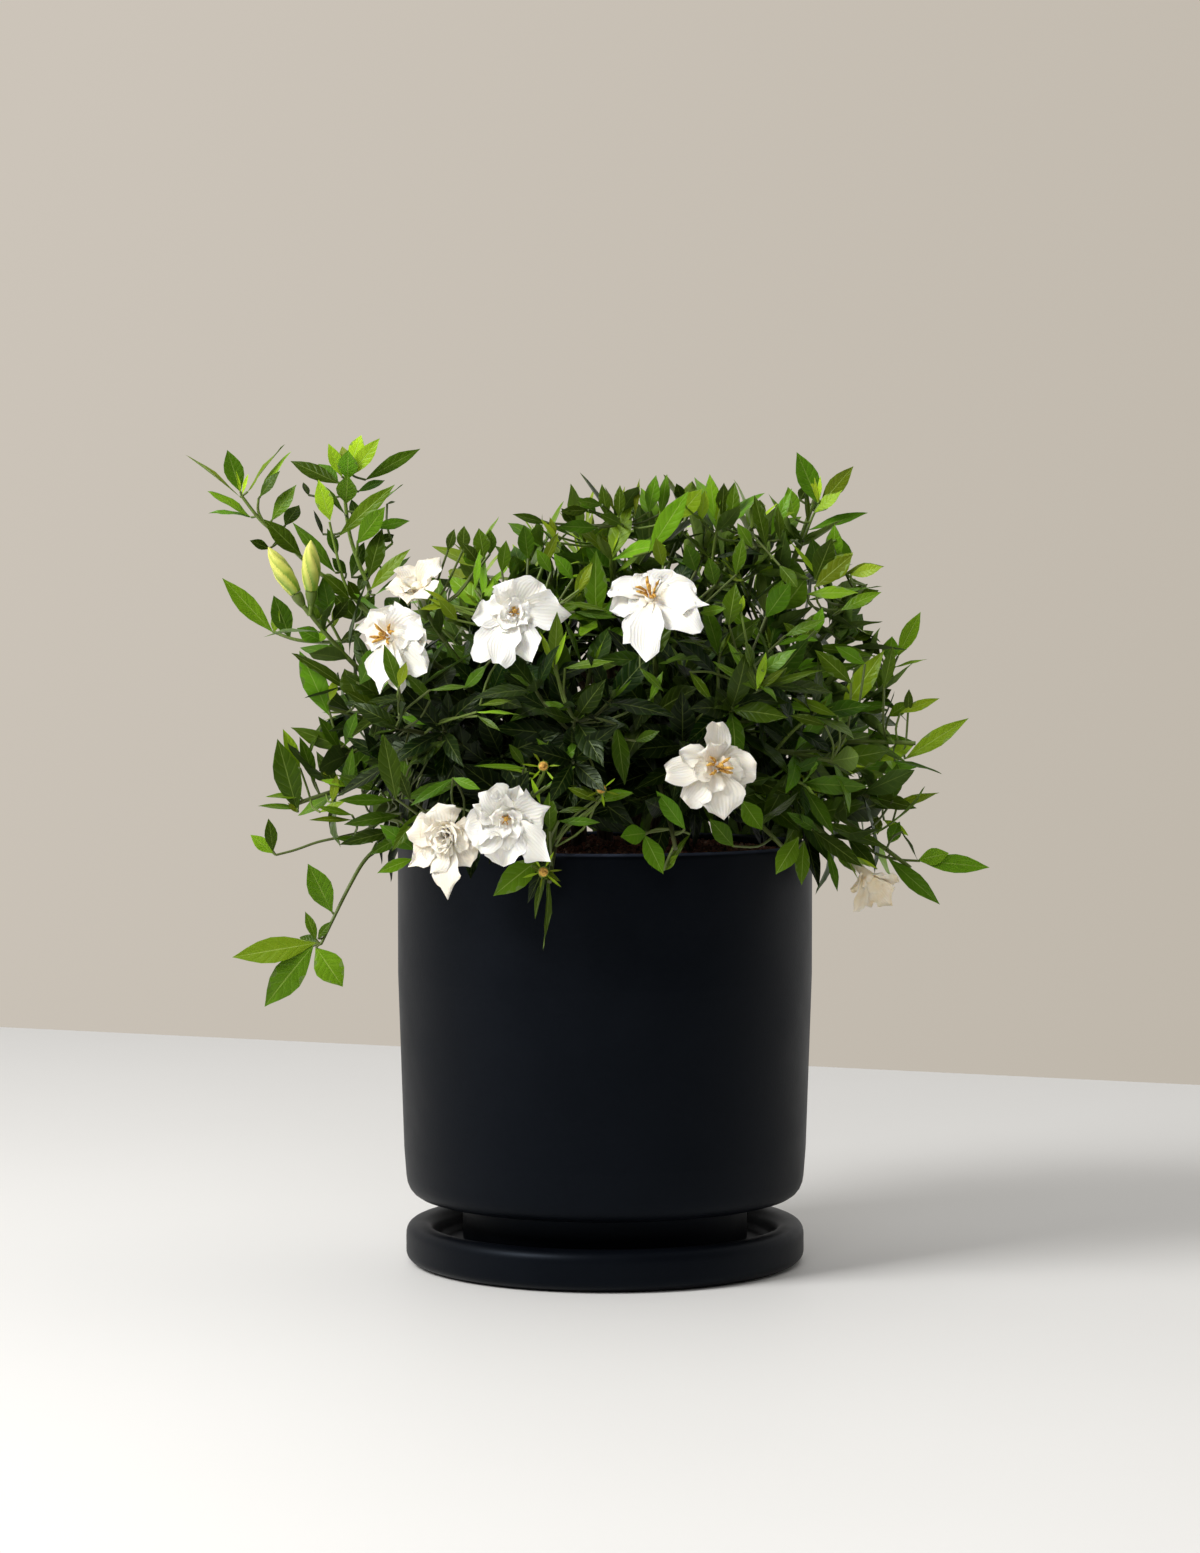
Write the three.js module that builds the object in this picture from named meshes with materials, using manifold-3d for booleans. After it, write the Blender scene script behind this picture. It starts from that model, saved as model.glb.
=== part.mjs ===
// A dwarf gardenia in a dark glazed cylinder pot that stands in its own saucer.
// Millimetres, +Z up. The origin is the middle of the saucer's flat underside, on the pot's axis.
// The front of the plant is towards -Y.
//
// The shrub is a set of woody stems that stand in holes in the soil. Each fork of the wood carries
// leafy sprays, and some of the sprays end in a double bloom or in a pair of buds.
import * as THREE from "three";
import { mergeVertices } from "three/addons/utils/BufferGeometryUtils.js";
import Module from "manifold-3d";

const wasm = await Module();
wasm.setup();

// ---------------------------------------------------------------- driving dimensions
const fit = 0.3; // gap between pieces that touch
const roundSides = 32; // facets round the pot, the saucer and the soil

const pot = {
  rimRadius: 107.5,
  rimHeight: 218,
  baseRadius: 104.5, // just above the rounded bottom edge
  underside: 34, // height of the overhang round the foot
  footRadius: 74,
  footBottom: 11.2,
  wall: 7,
  floorTop: 20,
  drainRadius: 7,
  padHeight: 1.9, // three low pads let water out from under the foot
  padRadius: 6,
  padCircle: 58,
};
const saucer = {
  radius: 103.5,
  footRadius: 97,
  lipRadius: 97, // radius of the lip's crest
  lipHeight: 21,
  wellRadius: 89,
  floorTop: 9,
};
const soil = { edgeHeight: 211, crown: 7, grain: 1.3 };

const wood = {
  footCircle: 27, // the outer stems' feet stand on this circle
  footDepth: 34, // length of stem that stands in the soil
  footRadius: 4.2,
  forkCircle: 50,
  forkHeight: 270,
  middleForkHeight: 300,
  forkRadius: 3.2,
  branchRadius: 2.2,
  tipRadius: 1.8,
  branchSpacing: 0.085, // share of the stem between one branch and the next below it
  outerStems: 6,
};
const stem = { baseRadius: 1.6, tipRadius: 1.1, shootRadius: 1.0, shootReach: 28 };
const blade = {
  length: 38,
  ribThickness: 1.3,
  stations: [0.36, 0.7], // shares of the length where a blade's width is set
  innerStations: [0.5], // the same for the leaves deep in the plant
  spacing: 17, // between the whorls of leaves on a stem
  socket: 1.3, // half the height of the face of a stem that a leaf grows from
  lightTurn: 0.85, // how far a blade turns its face to the light
  outwardLight: 1, // how much of that light comes from outside the plant, against from above
};
// The four shapes that a blade takes: width to length, how far it arches over, how far it folds up.
const bladeForms = [
  { width: 0.37, arch: 0.1, fold: 0.45 },
  { width: 0.41, arch: 0.22, fold: 0.35 },
  { width: 0.34, arch: 0.04, fold: 0.5 },
  { width: 0.38, arch: 0.34, fold: 0.3 },
];
const leafRoom = 0.35; // clearance that a blade keeps from other pieces
const petalThickness = 1.3;
const bloomTube = { length: 13, radius: 2.1 };
// Layers of petals, outermost first. Each stands on a collar of six faces, from low to high, given
// by their height over the bloom's middle and their radius. Lean is how far the petals lean out
// from the axis, roll how far each tucks one edge under its neighbour, and reach is a petal's
// length as a share of the bloom's width.
const petalLayers = [
  {
    collar: { low: [-4, 3.4], high: [-2, 4.6] },
    lean: 1.46,
    roll: 0.3,
    reach: 0.42,
    breadth: 0.76,
    cup: 0.12,
    stations: [0.42, 0.76, 0.93],
  },
  {
    collar: { low: [-1.2, 4.4], high: [1, 3.6] },
    lean: 0.74,
    roll: 0.6,
    reach: 0.3,
    breadth: 0.68,
    cup: 0.1,
    stations: [0.45, 0.84],
  },
];
// The furled petals at the heart of a bloom.
const heart = { rings: [[2.4, 3.3], [5.2, 2.7]], top: 8 };

// ---------------------------------------------------------------- the plant's plan
// Where each leafy spray's stem ends.
const leafySprays = {
  left_tall: [-125, -10, 405],
  left_far: [-187, -20, 396],
  left_mid: [-172, 2, 324],
  left_shoulder: [-145, -38, 290],
  left_low: [-161, -30, 238],
  left_hanging: [-143, -60, 168],
  top_1: [-66, -20, 364],
  top_2: [-34, 5, 376],
  top_3: [6, -20, 388],
  top_4: [44, 10, 391],
  top_5: [77, -18, 384],
  right_tall: [110, 0, 400],
  right_upper: [134, -12, 351],
  right_mid: [150, 0, 310],
  right_arrow: [159, -25, 270],
  right_low: [152, 5, 236],
  right_lowest: [154, -55, 208],
  front_left_face: [-103, -98, 280],
  front_left_drop: [-27, -132, 206],
  front_middle_drop: [34, -130, 222],
  front_face: [-14, -140, 285],
  front_right_face: [74, -120, 306],
  front_right_side: [116, -88, 262],
  front_right_drop: [92, -100, 216],
  back_left_low: [-120, 98, 246],
  back_left_high: [-88, 78, 345],
  back_low: [-30, 146, 250],
  back_high: [-8, 96, 365],
  back_middle: [48, 132, 300],
  back_right_low: [104, 112, 242],
  back_right_high: [82, 84, 352],
};
// Sprays that differ from the rest: how many whorls of leaves they have, how long their leaves are
// against the others', and whether they stand open, with no side shoot.
const habits = {
  left_tall: { whorls: 4, leafSize: 1.15 },
  left_far: { whorls: 3, leafSize: 1.25, open: true },
  left_mid: { whorls: 3, leafSize: 1.2, open: true },
  left_hanging: { whorls: 2, leafSize: 1.25, open: true },
};
// Each bloom: its middle, the way it faces, its width, and its age from 0, fresh, to 1, cream.
const blooms = {
  left: { at: [-106, -106, 325], facing: [-0.35, -0.9, 0.1], width: 44, age: 0.1 },
  behind_left: { at: [-94, -70, 350], facing: [-0.2, -0.6, 0.8], width: 34, age: 0.45 },
  upper: { at: [-44, -126, 336], facing: [0.05, -0.95, 0.25], width: 48, age: 0 },
  top: { at: [22, -120, 344], facing: [-0.1, -0.82, 0.5], width: 53, age: 0 },
  right: { at: [53, -140, 262], facing: [0.25, -0.95, 0.1], width: 46, age: 0.25 },
  lower_left: { at: [-76, -132, 229], facing: [-0.35, -0.9, -0.1], width: 42, age: 0.6 },
  lower: { at: [-48, -146, 237], facing: [0.1, -0.98, 0.1], width: 42, age: 0.1 },
  hanging: { at: [132, -70, 204], facing: [0.55, -0.5, -0.6], width: 32, age: 0.9 },
};
// The spray that ends in two buds, and the way each bud points.
const budSpray = { tip: [-152, -48, 340], approach: [-0.3, -0.1, 0.9] };
const buds = {
  left: { points: [-0.5, -0.1, 0.86], length: 27, radius: 5.2 },
  right: { points: [0.02, -0.3, 0.95], length: 26, radius: 5.2 },
};

const up = new THREE.Vector3(0, 0, 1);
const vec = (a) => new THREE.Vector3(...a);

// Repeatable draws from 0 to 1.
function drawsFrom(seed) {
  let state = seed >>> 0;
  const draw = () => {
    state = (Math.imul(state, 1664525) + 1013904223) >>> 0;
    return state / 4294967296;
  };
  draw();
  draw();
  return draw;
}

// ---------------------------------------------------------------- solids
// A closed solid from points and triangles, turned so that its faces point out.
function solidFrom(points, triangles) {
  const vertProperties = new Float32Array(points.flatMap((p) => [p.x, p.y, p.z]));
  let volume = 0;
  for (let i = 0; i < triangles.length; i += 3) {
    const [a, b, c] = [0, 1, 2].map((k) => points[triangles[i + k]]);
    volume += a.dot(b.clone().cross(c));
  }
  const triVerts = new Uint32Array(volume < 0 ? [...triangles].reverse() : triangles);
  return new wasm.Manifold(new wasm.Mesh({ numProp: 3, vertProperties, triVerts }));
}

function solidOf(geometry) {
  const bare = geometry.index ? geometry.toNonIndexed() : geometry.clone();
  for (const name of Object.keys(bare.attributes)) {
    if (name !== "position") bare.deleteAttribute(name);
  }
  const merged = mergeVertices(bare, 1e-3);
  const at = merged.attributes.position;
  const points = Array.from({ length: at.count }, (_, i) => new THREE.Vector3().fromBufferAttribute(at, i));
  return solidFrom(points, Array.from(merged.index.array));
}

function geometryOf(solid) {
  const mesh = solid.getMesh();
  const geometry = new THREE.BufferGeometry();
  geometry.setAttribute("position", new THREE.BufferAttribute(mesh.vertProperties, 3));
  geometry.setIndex(new THREE.BufferAttribute(mesh.triVerts, 1));
  return geometry;
}

function join(solids) {
  return wasm.Manifold.union(solids);
}

// A solid of revolution about Z. The profile is [radius, height] pairs or a path of the same.
function turned(profile) {
  const points = profile.getPoints ? profile.getPoints(3) : profile.map((p) => new THREE.Vector2(...p));
  return new THREE.LatheGeometry(points, roundSides).rotateX(Math.PI / 2);
}

function cylinder(radius, bottom, top, x, y, sides = 10) {
  const geometry = new THREE.CylinderGeometry(radius, radius, top - bottom, sides).rotateX(Math.PI / 2);
  return solidOf(geometry.translate(x, y, (bottom + top) / 2));
}

// ---------------------------------------------------------------- skins of the plant
// A closed skin that grows ring by ring. A loop is a list of corners that run counterclockwise
// round the way it grows. A face left open between two loops is a socket for the next growth.
class Skin {
  constructor() {
    this.points = [];
    this.triangles = [];
  }

  loop(ring) {
    const first = this.points.length;
    this.points.push(...ring);
    return ring.map((_, i) => first + i);
  }

  // Starts with a flat end.
  begin(ring) {
    const loop = this.loop(ring);
    for (let i = 1; i + 1 < loop.length; i++) this.triangles.push(loop[0], loop[i + 1], loop[i]);
    return loop;
  }

  // Grows on to the next ring. A blade's faces are split alike above and below, so that they never
  // cross, and a stem's along their shorter diagonal.
  grow(loop, ring, { open = [], blade = false } = {}) {
    const next = this.loop(ring);
    for (let i = 0; i < loop.length; i++) {
      if (open.includes(i)) continue;
      const j = (i + 1) % loop.length;
      const [a, b, c, d] = [loop[i], loop[j], next[j], next[i]];
      const across = (from, to) => this.points[from].distanceTo(this.points[to]);
      const rising = blade ? i % 2 === 0 : across(a, c) < across(b, d);
      this.triangles.push(...(rising ? [a, b, c, a, c, d] : [a, b, d, b, c, d]));
    }
    return next;
  }

  // The same loop, started at the corner that twists the skin least on its way to the ring.
  turnedTo(loop, ring) {
    const spread = (points) => {
      const centre = points.reduce((sum, p) => sum.add(p), new THREE.Vector3()).divideScalar(points.length);
      return points.map((p) => p.clone().sub(centre).normalize());
    };
    const from = spread(loop.map((i) => this.points[i]));
    const to = spread(ring);
    const match = loop.map((_, shift) =>
      to.reduce((sum, p, i) => sum + p.dot(from[(i + shift) % from.length]), 0),
    );
    const shift = match.indexOf(Math.max(...match));
    return loop.map((_, i) => loop[(i + shift) % loop.length]);
  }

  // Ends in a point, or flat.
  end(loop, point) {
    if (!point) {
      for (let i = 1; i + 1 < loop.length; i++) this.triangles.push(loop[0], loop[i], loop[i + 1]);
      return;
    }
    const [tip] = this.loop([point]);
    loop.forEach((corner, i) => this.triangles.push(corner, loop[(i + 1) % loop.length], tip));
  }

  solid() {
    return solidFrom(this.points, this.triangles);
  }
}

function socketOf(low, high, i) {
  const j = (i + 1) % low.length;
  return [low[i], low[j], high[j], high[i]];
}

// A ring of points round an axis, counterclockwise. Its first point lies along radial.
function ring(centre, axis, radial, radius, sides) {
  const other = new THREE.Vector3().crossVectors(axis, radial);
  return Array.from({ length: sides }, (_, i) => {
    const turn = (2 * Math.PI * i) / sides;
    return centre
      .clone()
      .addScaledVector(radial, radius * Math.cos(turn))
      .addScaledVector(other, radius * Math.sin(turn));
  });
}

// A direction square to an axis, turned round it from a reference direction.
function squareTo(axis, reference, turn) {
  return reference.clone().addScaledVector(axis, -reference.dot(axis)).normalize().applyAxisAngle(axis, turn);
}

// The one of X, Y and Z that a direction is furthest from.
function referenceFor(direction) {
  const sizes = direction.toArray().map(Math.abs);
  const least = sizes.indexOf(Math.min(...sizes));
  return vec([0, 1, 2].map((k) => (k === least ? 1 : 0)));
}

// A stretch of stem: levels hold what grows from its faces, and finish is how it ends.
function planStem(curve, sides, radii) {
  const reference = referenceFor(curve.getPoint(1).sub(curve.getPoint(0)));
  return { curve, sides, radii, reference, span: curve.getLength(), levels: [], finish: null };
}

function stemRing(plan, t, turn) {
  const axis = plan.curve.getTangent(t);
  const radius = THREE.MathUtils.lerp(...plan.radii, t);
  return ring(plan.curve.getPoint(t), axis, squareTo(axis, plan.reference, turn), radius, plan.sides);
}

// The middle of one face of a stem, and the ways that its stem and the face point.
function faceOf(plan, t, turn, i) {
  const axis = plan.curve.getTangent(t);
  const out = squareTo(axis, plan.reference, turn + (2 * Math.PI * (i + 0.5)) / plan.sides);
  const radius = THREE.MathUtils.lerp(...plan.radii, t) * Math.cos(Math.PI / plan.sides);
  return { root: plan.curve.getPoint(t).addScaledVector(out, radius), axis, out };
}

// A stem without its leaves, for the room that it takes from a share of its length outwards.
function bareStem(plan, from = 0, extra = 0) {
  const skin = new Skin();
  const thicker = { ...plan, radii: plan.radii.map((radius) => radius + extra) };
  let loop = skin.begin(stemRing(thicker, from, 0));
  for (const t of [0.4, 0.6, 0.8, 1]) loop = skin.grow(loop, stemRing(thicker, t, 0));
  skin.end(loop);
  return skin.solid();
}

// ---------------------------------------------------------------- pot, saucer and soil
function makePot() {
  const { rimRadius, rimHeight, baseRadius, underside, footRadius, footBottom } = pot;
  const { wall, floorTop, drainRadius, padHeight, padRadius, padCircle } = pot;
  const outline = new THREE.Path();
  outline.moveTo(drainRadius, footBottom);
  outline.lineTo(footRadius - 2, footBottom);
  outline.lineTo(footRadius, footBottom + 2);
  outline.lineTo(footRadius, underside - 4);
  outline.lineTo(footRadius + 4, underside - 0.5);
  outline.lineTo(baseRadius - 14, underside);
  outline.quadraticCurveTo(baseRadius, underside + 3, baseRadius, underside + 26);
  outline.lineTo(rimRadius, 150);
  outline.lineTo(rimRadius, rimHeight - 2.5);
  outline.quadraticCurveTo(rimRadius - wall / 2, rimHeight + 2.5, rimRadius - wall, rimHeight - 2.5);
  outline.lineTo(rimRadius - wall, 150);
  outline.lineTo(baseRadius - wall, underside + 24);
  outline.lineTo(baseRadius - wall - 6, underside + 9);
  outline.lineTo(footRadius, underside + 7);
  outline.lineTo(footRadius - wall, underside + 1);
  outline.lineTo(footRadius - wall, floorTop);
  outline.lineTo(drainRadius, floorTop);
  outline.closePath();
  const pads = [0, 1, 2].map((i) => {
    const turn = Math.PI / 2 + (2 * Math.PI * i) / 3;
    const [x, y] = [padCircle * Math.cos(turn), padCircle * Math.sin(turn)];
    return cylinder(padRadius, footBottom - padHeight, footBottom + 3, x, y, 12);
  });
  return join([solidOf(turned(outline)), ...pads]);
}

function makeSaucer() {
  const { radius, footRadius, lipRadius, lipHeight, wellRadius, floorTop } = saucer;
  const outline = new THREE.Path();
  outline.moveTo(0, 0);
  outline.lineTo(footRadius, 0);
  outline.lineTo(footRadius + 1.5, 1.2);
  outline.quadraticCurveTo(radius, 3, radius, 10);
  outline.quadraticCurveTo(radius, lipHeight, lipRadius, lipHeight);
  outline.quadraticCurveTo(wellRadius + 1.5, lipHeight, wellRadius, floorTop + 4);
  outline.lineTo(wellRadius - 3, floorTop);
  outline.lineTo(0, floorTop);
  return solidOf(turned(outline));
}

// The soil's surface crowns towards the middle, and its grains are raised from it.
function soilHeight(x, y) {
  const share = Math.hypot(x, y) / (pot.rimRadius - pot.wall);
  const grains = Math.sin(x * 0.41 + 1.3 * Math.sin(y * 0.23)) * Math.sin(y * 0.37 + Math.sin(x * 0.29));
  return soil.edgeHeight + soil.crown * (1 - share * share) + soil.grain * grains;
}

function makeSoil(feet) {
  const side = pot.rimRadius - pot.wall - fit;
  const low = pot.baseRadius - pot.wall - fit;
  const rings = [0.95, 0.78, 0.6, 0.42, 0.22];
  const profile = [
    [0, pot.floorTop + fit],
    [pot.footRadius - pot.wall - fit, pot.floorTop + fit],
    [pot.footRadius - pot.wall - fit, pot.underside + 1 + 2 * fit],
    [pot.footRadius - 2 * fit, pot.underside + 7 + fit],
    [low - 6, pot.underside + 9 + 2 * fit],
    [low, pot.underside + 25],
    [side, 150],
    [side, soil.edgeHeight - 1.5],
    ...rings.map((share) => [side * share, soil.edgeHeight]),
    [0, soil.edgeHeight],
  ];
  const geometry = turned(profile);
  const at = geometry.attributes.position;
  for (let i = 0; i < at.count; i++) {
    if (at.getZ(i) > soil.edgeHeight - 1) at.setZ(i, soilHeight(at.getX(i), at.getY(i)));
  }
  const holes = feet.map(({ x, y, z }) => {
    return cylinder(wood.footRadius + 2 * fit, z - wood.footDepth, z + 20, x, y);
  });
  return holes.reduce((body, hole) => body.subtract(hole), solidOf(geometry));
}

// ---------------------------------------------------------------- woody stems
function plantForks() {
  const outer = Array.from({ length: wood.outerStems }, (_, i) => {
    const turn = (2 * Math.PI * i) / wood.outerStems;
    return [Math.cos(turn), Math.sin(turn), wood.forkHeight];
  });
  return [...outer, [0, 0, wood.middleForkHeight]].map(([x, y, height], i) => {
    const foot = vec([wood.footCircle * x, wood.footCircle * y, 0]);
    foot.z = soilHeight(foot.x, foot.y);
    const at = vec([wood.forkCircle * x, wood.forkCircle * y, height]);
    const rise = height - foot.z;
    const trunk = new THREE.CubicBezierCurve3(
      foot.clone().addScaledVector(up, 2),
      foot.clone().addScaledVector(up, 0.35 * rise),
      foot.clone().lerp(at, 0.45).setZ(foot.z + 0.6 * rise),
      at,
    );
    return { name: `wood_${i + 1}`, foot, at, trunk, sprays: [], branches: [] };
  });
}

// Every spray leaves the fork nearest to its tip, the highest ones at the top. It starts as a woody
// branch. Stems that rise turn up towards the light, and stems that lie low arch over.
function routeSprays(sprays, forks) {
  for (const spray of sprays) {
    const distances = forks.map((fork) => fork.at.distanceTo(spray.tip));
    forks[distances.indexOf(Math.min(...distances))].sprays.push(spray);
  }
  for (const fork of forks) {
    fork.sprays.sort((a, b) => b.tip.z - a.tip.z);
    fork.sprays.forEach((spray, k) => {
      const from = fork.trunk.getPoint(1 - wood.branchSpacing * k);
      const span = spray.tip.clone().sub(from);
      const rise = span.z / span.length();
      const bow = span.length() * (rise > 0 ? 0.12 - 0.3 * rise : 0.12 - 0.42 * rise);
      const control = from.clone().lerp(spray.tip, 0.5).addScaledVector(up, bow);
      if (spray.approach) {
        control.lerp(spray.tip.clone().addScaledVector(spray.approach, -0.4 * span.length()), 0.5);
      }
      const leaving = control.clone().sub(from).normalize();
      const reach = THREE.MathUtils.clamp(0.26 * span.length(), 16, 34);
      const start = from.clone().addScaledVector(leaving, reach);
      fork.branches.push([from, start.clone().addScaledVector(leaving, -fit)]);
      spray.curve = new THREE.QuadraticBezierCurve3(start, control, spray.tip);
    });
  }
}

function makeWood(fork) {
  const trunk = planStem(fork.trunk, 6, [wood.footRadius, wood.forkRadius]);
  trunk.reference = vec([1, 0, 0]);
  const skin = new Skin();
  const bottom = fork.foot.clone().addScaledVector(up, fit - wood.footDepth);
  let loop = skin.begin(ring(bottom, up, trunk.reference, wood.footRadius, trunk.sides));
  for (const t of [0, 0.35, 0.7, 1]) loop = skin.grow(loop, stemRing(trunk, t, 0));
  skin.end(loop, fork.at.clone().addScaledVector(fork.trunk.getTangent(1), 2));
  const branches = fork.branches.map(([from, to]) => {
    const branch = new THREE.LineCurve3(from, to);
    const plan = planStem(branch, 4, [wood.branchRadius, wood.tipRadius]);
    const bark = new Skin();
    bark.end(bark.grow(bark.begin(stemRing(plan, 0, 0)), stemRing(plan, 1, 0)));
    return bark.solid();
  });
  return join([skin.solid(), ...branches]);
}

// ---------------------------------------------------------------- leaves
// A blade's half width, as a share of its length, at a share of the way along it.
function halfWidth(form, t) {
  return (form.width / 2) * Math.sin(Math.PI * t ** 0.9) ** 0.85;
}

// A leaf that stands on a face of a stem. Dir is the way it points and face the way its top looks.
function planLeaf({ root, axis, out }, lean, length, form, rank) {
  const dir = axis.clone().multiplyScalar(Math.cos(lean)).addScaledVector(out, Math.sin(lean));
  const face = axis.clone().multiplyScalar(Math.sin(lean)).addScaledVector(out, -Math.cos(lean));
  const light = new THREE.Vector3(root.x, root.y, 0).setLength(blade.outwardLight).add(up).normalize();
  light.addScaledVector(dir, -light.dot(dir));
  face.addScaledVector(light, blade.lightTurn).normalize();
  return { root, dir, face, length, form, rank };
}

// The rings of a blade, each from the top of its midrib round to its left edge.
// Extra widens and thickens it to the room that it needs round it.
function bladeShape(leaf, extra = 0) {
  const form = bladeForms[leaf.form];
  const side = new THREE.Vector3().crossVectors(leaf.dir, leaf.face);
  const spot = (t, across, raise) =>
    leaf.root
      .clone()
      .addScaledVector(leaf.dir, t * leaf.length)
      .addScaledVector(leaf.face, -form.arch * t * t * leaf.length + form.fold * t * Math.abs(across) + raise)
      .addScaledVector(side, across);
  const thick = blade.ribThickness / 2 + extra;
  const stations = leaf.rank < 2 ? blade.stations : blade.innerStations;
  const rings = stations.map((t) => {
    const half = halfWidth(form, t) * leaf.length + extra;
    return [spot(t, 0, thick), spot(t, half, 0), spot(t, 0, -thick), spot(t, -half, 0)];
  });
  return { rings, tip: spot(1, 0, 0), spot };
}

function growBlade(skin, socket, shape) {
  let loop = skin.turnedTo(socket, shape.rings[0]);
  for (const ring of shape.rings) loop = skin.grow(loop, ring, { blade: true });
  skin.end(loop, shape.tip);
}

// The room that a blade takes from a share of its length outwards.
function bladeRoom(leaf, from, extra) {
  const { rings, tip, spot } = bladeShape(leaf, extra);
  const skin = new Skin();
  const girth = [spot(from, 0, 0.9), spot(from, 1.1, 0), spot(from, 0, -0.9), spot(from, -1.1, 0)];
  let loop = skin.begin(girth);
  for (const ring of rings) loop = skin.grow(loop, ring, { blade: true });
  skin.end(loop, tip);
  return skin.solid();
}

// A whorl of leaves, one on every face that every counts off. The leaves are all drawn here, and
// whether there is room for each is settled later.
function drawWhorl(plan, t, turn, every, lean, length, rank, draw) {
  const level = { plan, t, turn, growths: [] };
  plan.levels.push(level);
  const leaves = [];
  for (let i = 0; i < plan.sides; i += every) {
    const tilt = lean + (draw() - 0.5) * 0.3;
    const size = length * (0.84 + 0.3 * draw());
    const form = Math.floor(draw() * bladeForms.length);
    const leaf = planLeaf(faceOf(plan, t, turn, i), tilt, size, form, rank);
    leaves.push({ ...leaf, level, at: i });
  }
  return leaves;
}

// A spray: its stem with whorls of leaves, and three side shoots that it may have.
function planSpray(spray) {
  const draw = drawsFrom(spray.seed);
  const flowering = Boolean(spray.approach);
  const main = planStem(spray.curve, flowering ? 6 : 3, [stem.baseRadius, stem.tipRadius]);
  const every = main.sides / 3;
  const last = flowering ? 1 - 15 / main.span : 1 - 3 / main.span;
  const { leafSize = 1, open = flowering, ...habit } = habits[spray.habit] ?? {};
  const usual = flowering ? 2 : THREE.MathUtils.clamp(Math.round((main.span * 0.8) / blade.spacing), 2, 3);
  const whorls = habit.whorls ?? usual;
  const firstTurn = draw() * 2 * Math.PI;
  const turnOf = (k) => firstTurn + (k * Math.PI) / 3;
  const leaves = [];
  for (let k = 0; k < whorls; k++) {
    const t = last - (k * blade.spacing) / main.span;
    const lean = 0.66 + 0.2 * k;
    const length = leafSize * blade.length * Math.min(1, 0.76 + 0.12 * k);
    leaves.push(...drawWhorl(main, t, turnOf(k), every, lean, length, k, draw));
  }
  const shootAt = last - (1.5 * blade.spacing) / main.span;
  const shoots = Array.from({ length: 3 }, (_, i) => {
    const reach = stem.shootReach * (0.8 + 0.5 * draw());
    const { root, axis, out } = faceOf(main, shootAt, turnOf(1.5), i * every);
    const knee = root.clone().addScaledVector(axis, reach * 0.3).addScaledVector(out, reach * 0.4);
    const tip = root.clone().addScaledVector(axis, reach * 0.75).addScaledVector(out, reach * 0.65);
    const curve = new THREE.QuadraticBezierCurve3(root, knee, tip.addScaledVector(up, 0.1 * reach));
    const shoot = planStem(curve, 4, [stem.shootRadius, stem.shootRadius * 0.8]);
    shoot.at = i * every;
    shoot.leaves = drawWhorl(shoot, 0.92, draw() * Math.PI, 1, 0.72, blade.length * 0.8, 1.5, draw);
    return shoot;
  });
  return { main, leaves, shoots: open ? [] : shoots, shootAt, shootTurn: turnOf(1.5) };
}

// Grows a stem's skin, with all that stands on it, from a socket or from a flat end.
function growStem(skin, plan, socket) {
  const step = blade.socket / plan.span;
  let loop = socket;
  const grow = (ring) => {
    loop = loop ? skin.grow(skin.turnedTo(loop, ring), ring) : skin.begin(ring);
  };
  const levels = plan.levels.filter((level) => level.growths.some(Boolean)).sort((a, b) => a.t - b.t);
  if (!socket) {
    const { t, turn } = levels[0];
    for (const share of [0, 0.5]) grow(stemRing(plan, share * t, turn));
  }
  for (const { t, turn, growths } of levels) {
    grow(stemRing(plan, t - step, turn));
    const low = loop;
    const open = growths.flatMap((growth, i) => (growth ? [i] : []));
    loop = skin.grow(low, stemRing(plan, t + step, turn), { open });
    for (const i of open) {
      const place = socketOf(low, loop, i);
      if (growths[i].levels) growStem(skin, growths[i], place);
      else growBlade(skin, place, bladeShape(growths[i]));
    }
  }
  for (const ring of plan.finish?.rings ?? []) grow(ring);
  skin.end(loop, plan.finish ? null : plan.curve.getPoint(1).addScaledVector(plan.curve.getTangent(1), 2));
}

// ---------------------------------------------------------------- blooms and buds
// The green cup that a bloom or bud stands in, as the end of its stem.
function calyxAt(base, axis, reference, sides) {
  const cup = [
    [8.5, 1.1],
    [4.5, 2.6],
    [fit, 2.9],
  ];
  const radial = squareTo(axis, reference, 0);
  const rings = cup.map(([back, radius]) => {
    return ring(base.clone().addScaledVector(axis, -back), axis, radial, radius, sides);
  });
  return { rings };
}

// The point where a bloom's tube meets its cup.
function bloomBase(bloom) {
  return vec(bloom.at).addScaledVector(vec(bloom.facing).normalize(), -bloomTube.length);
}

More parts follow.
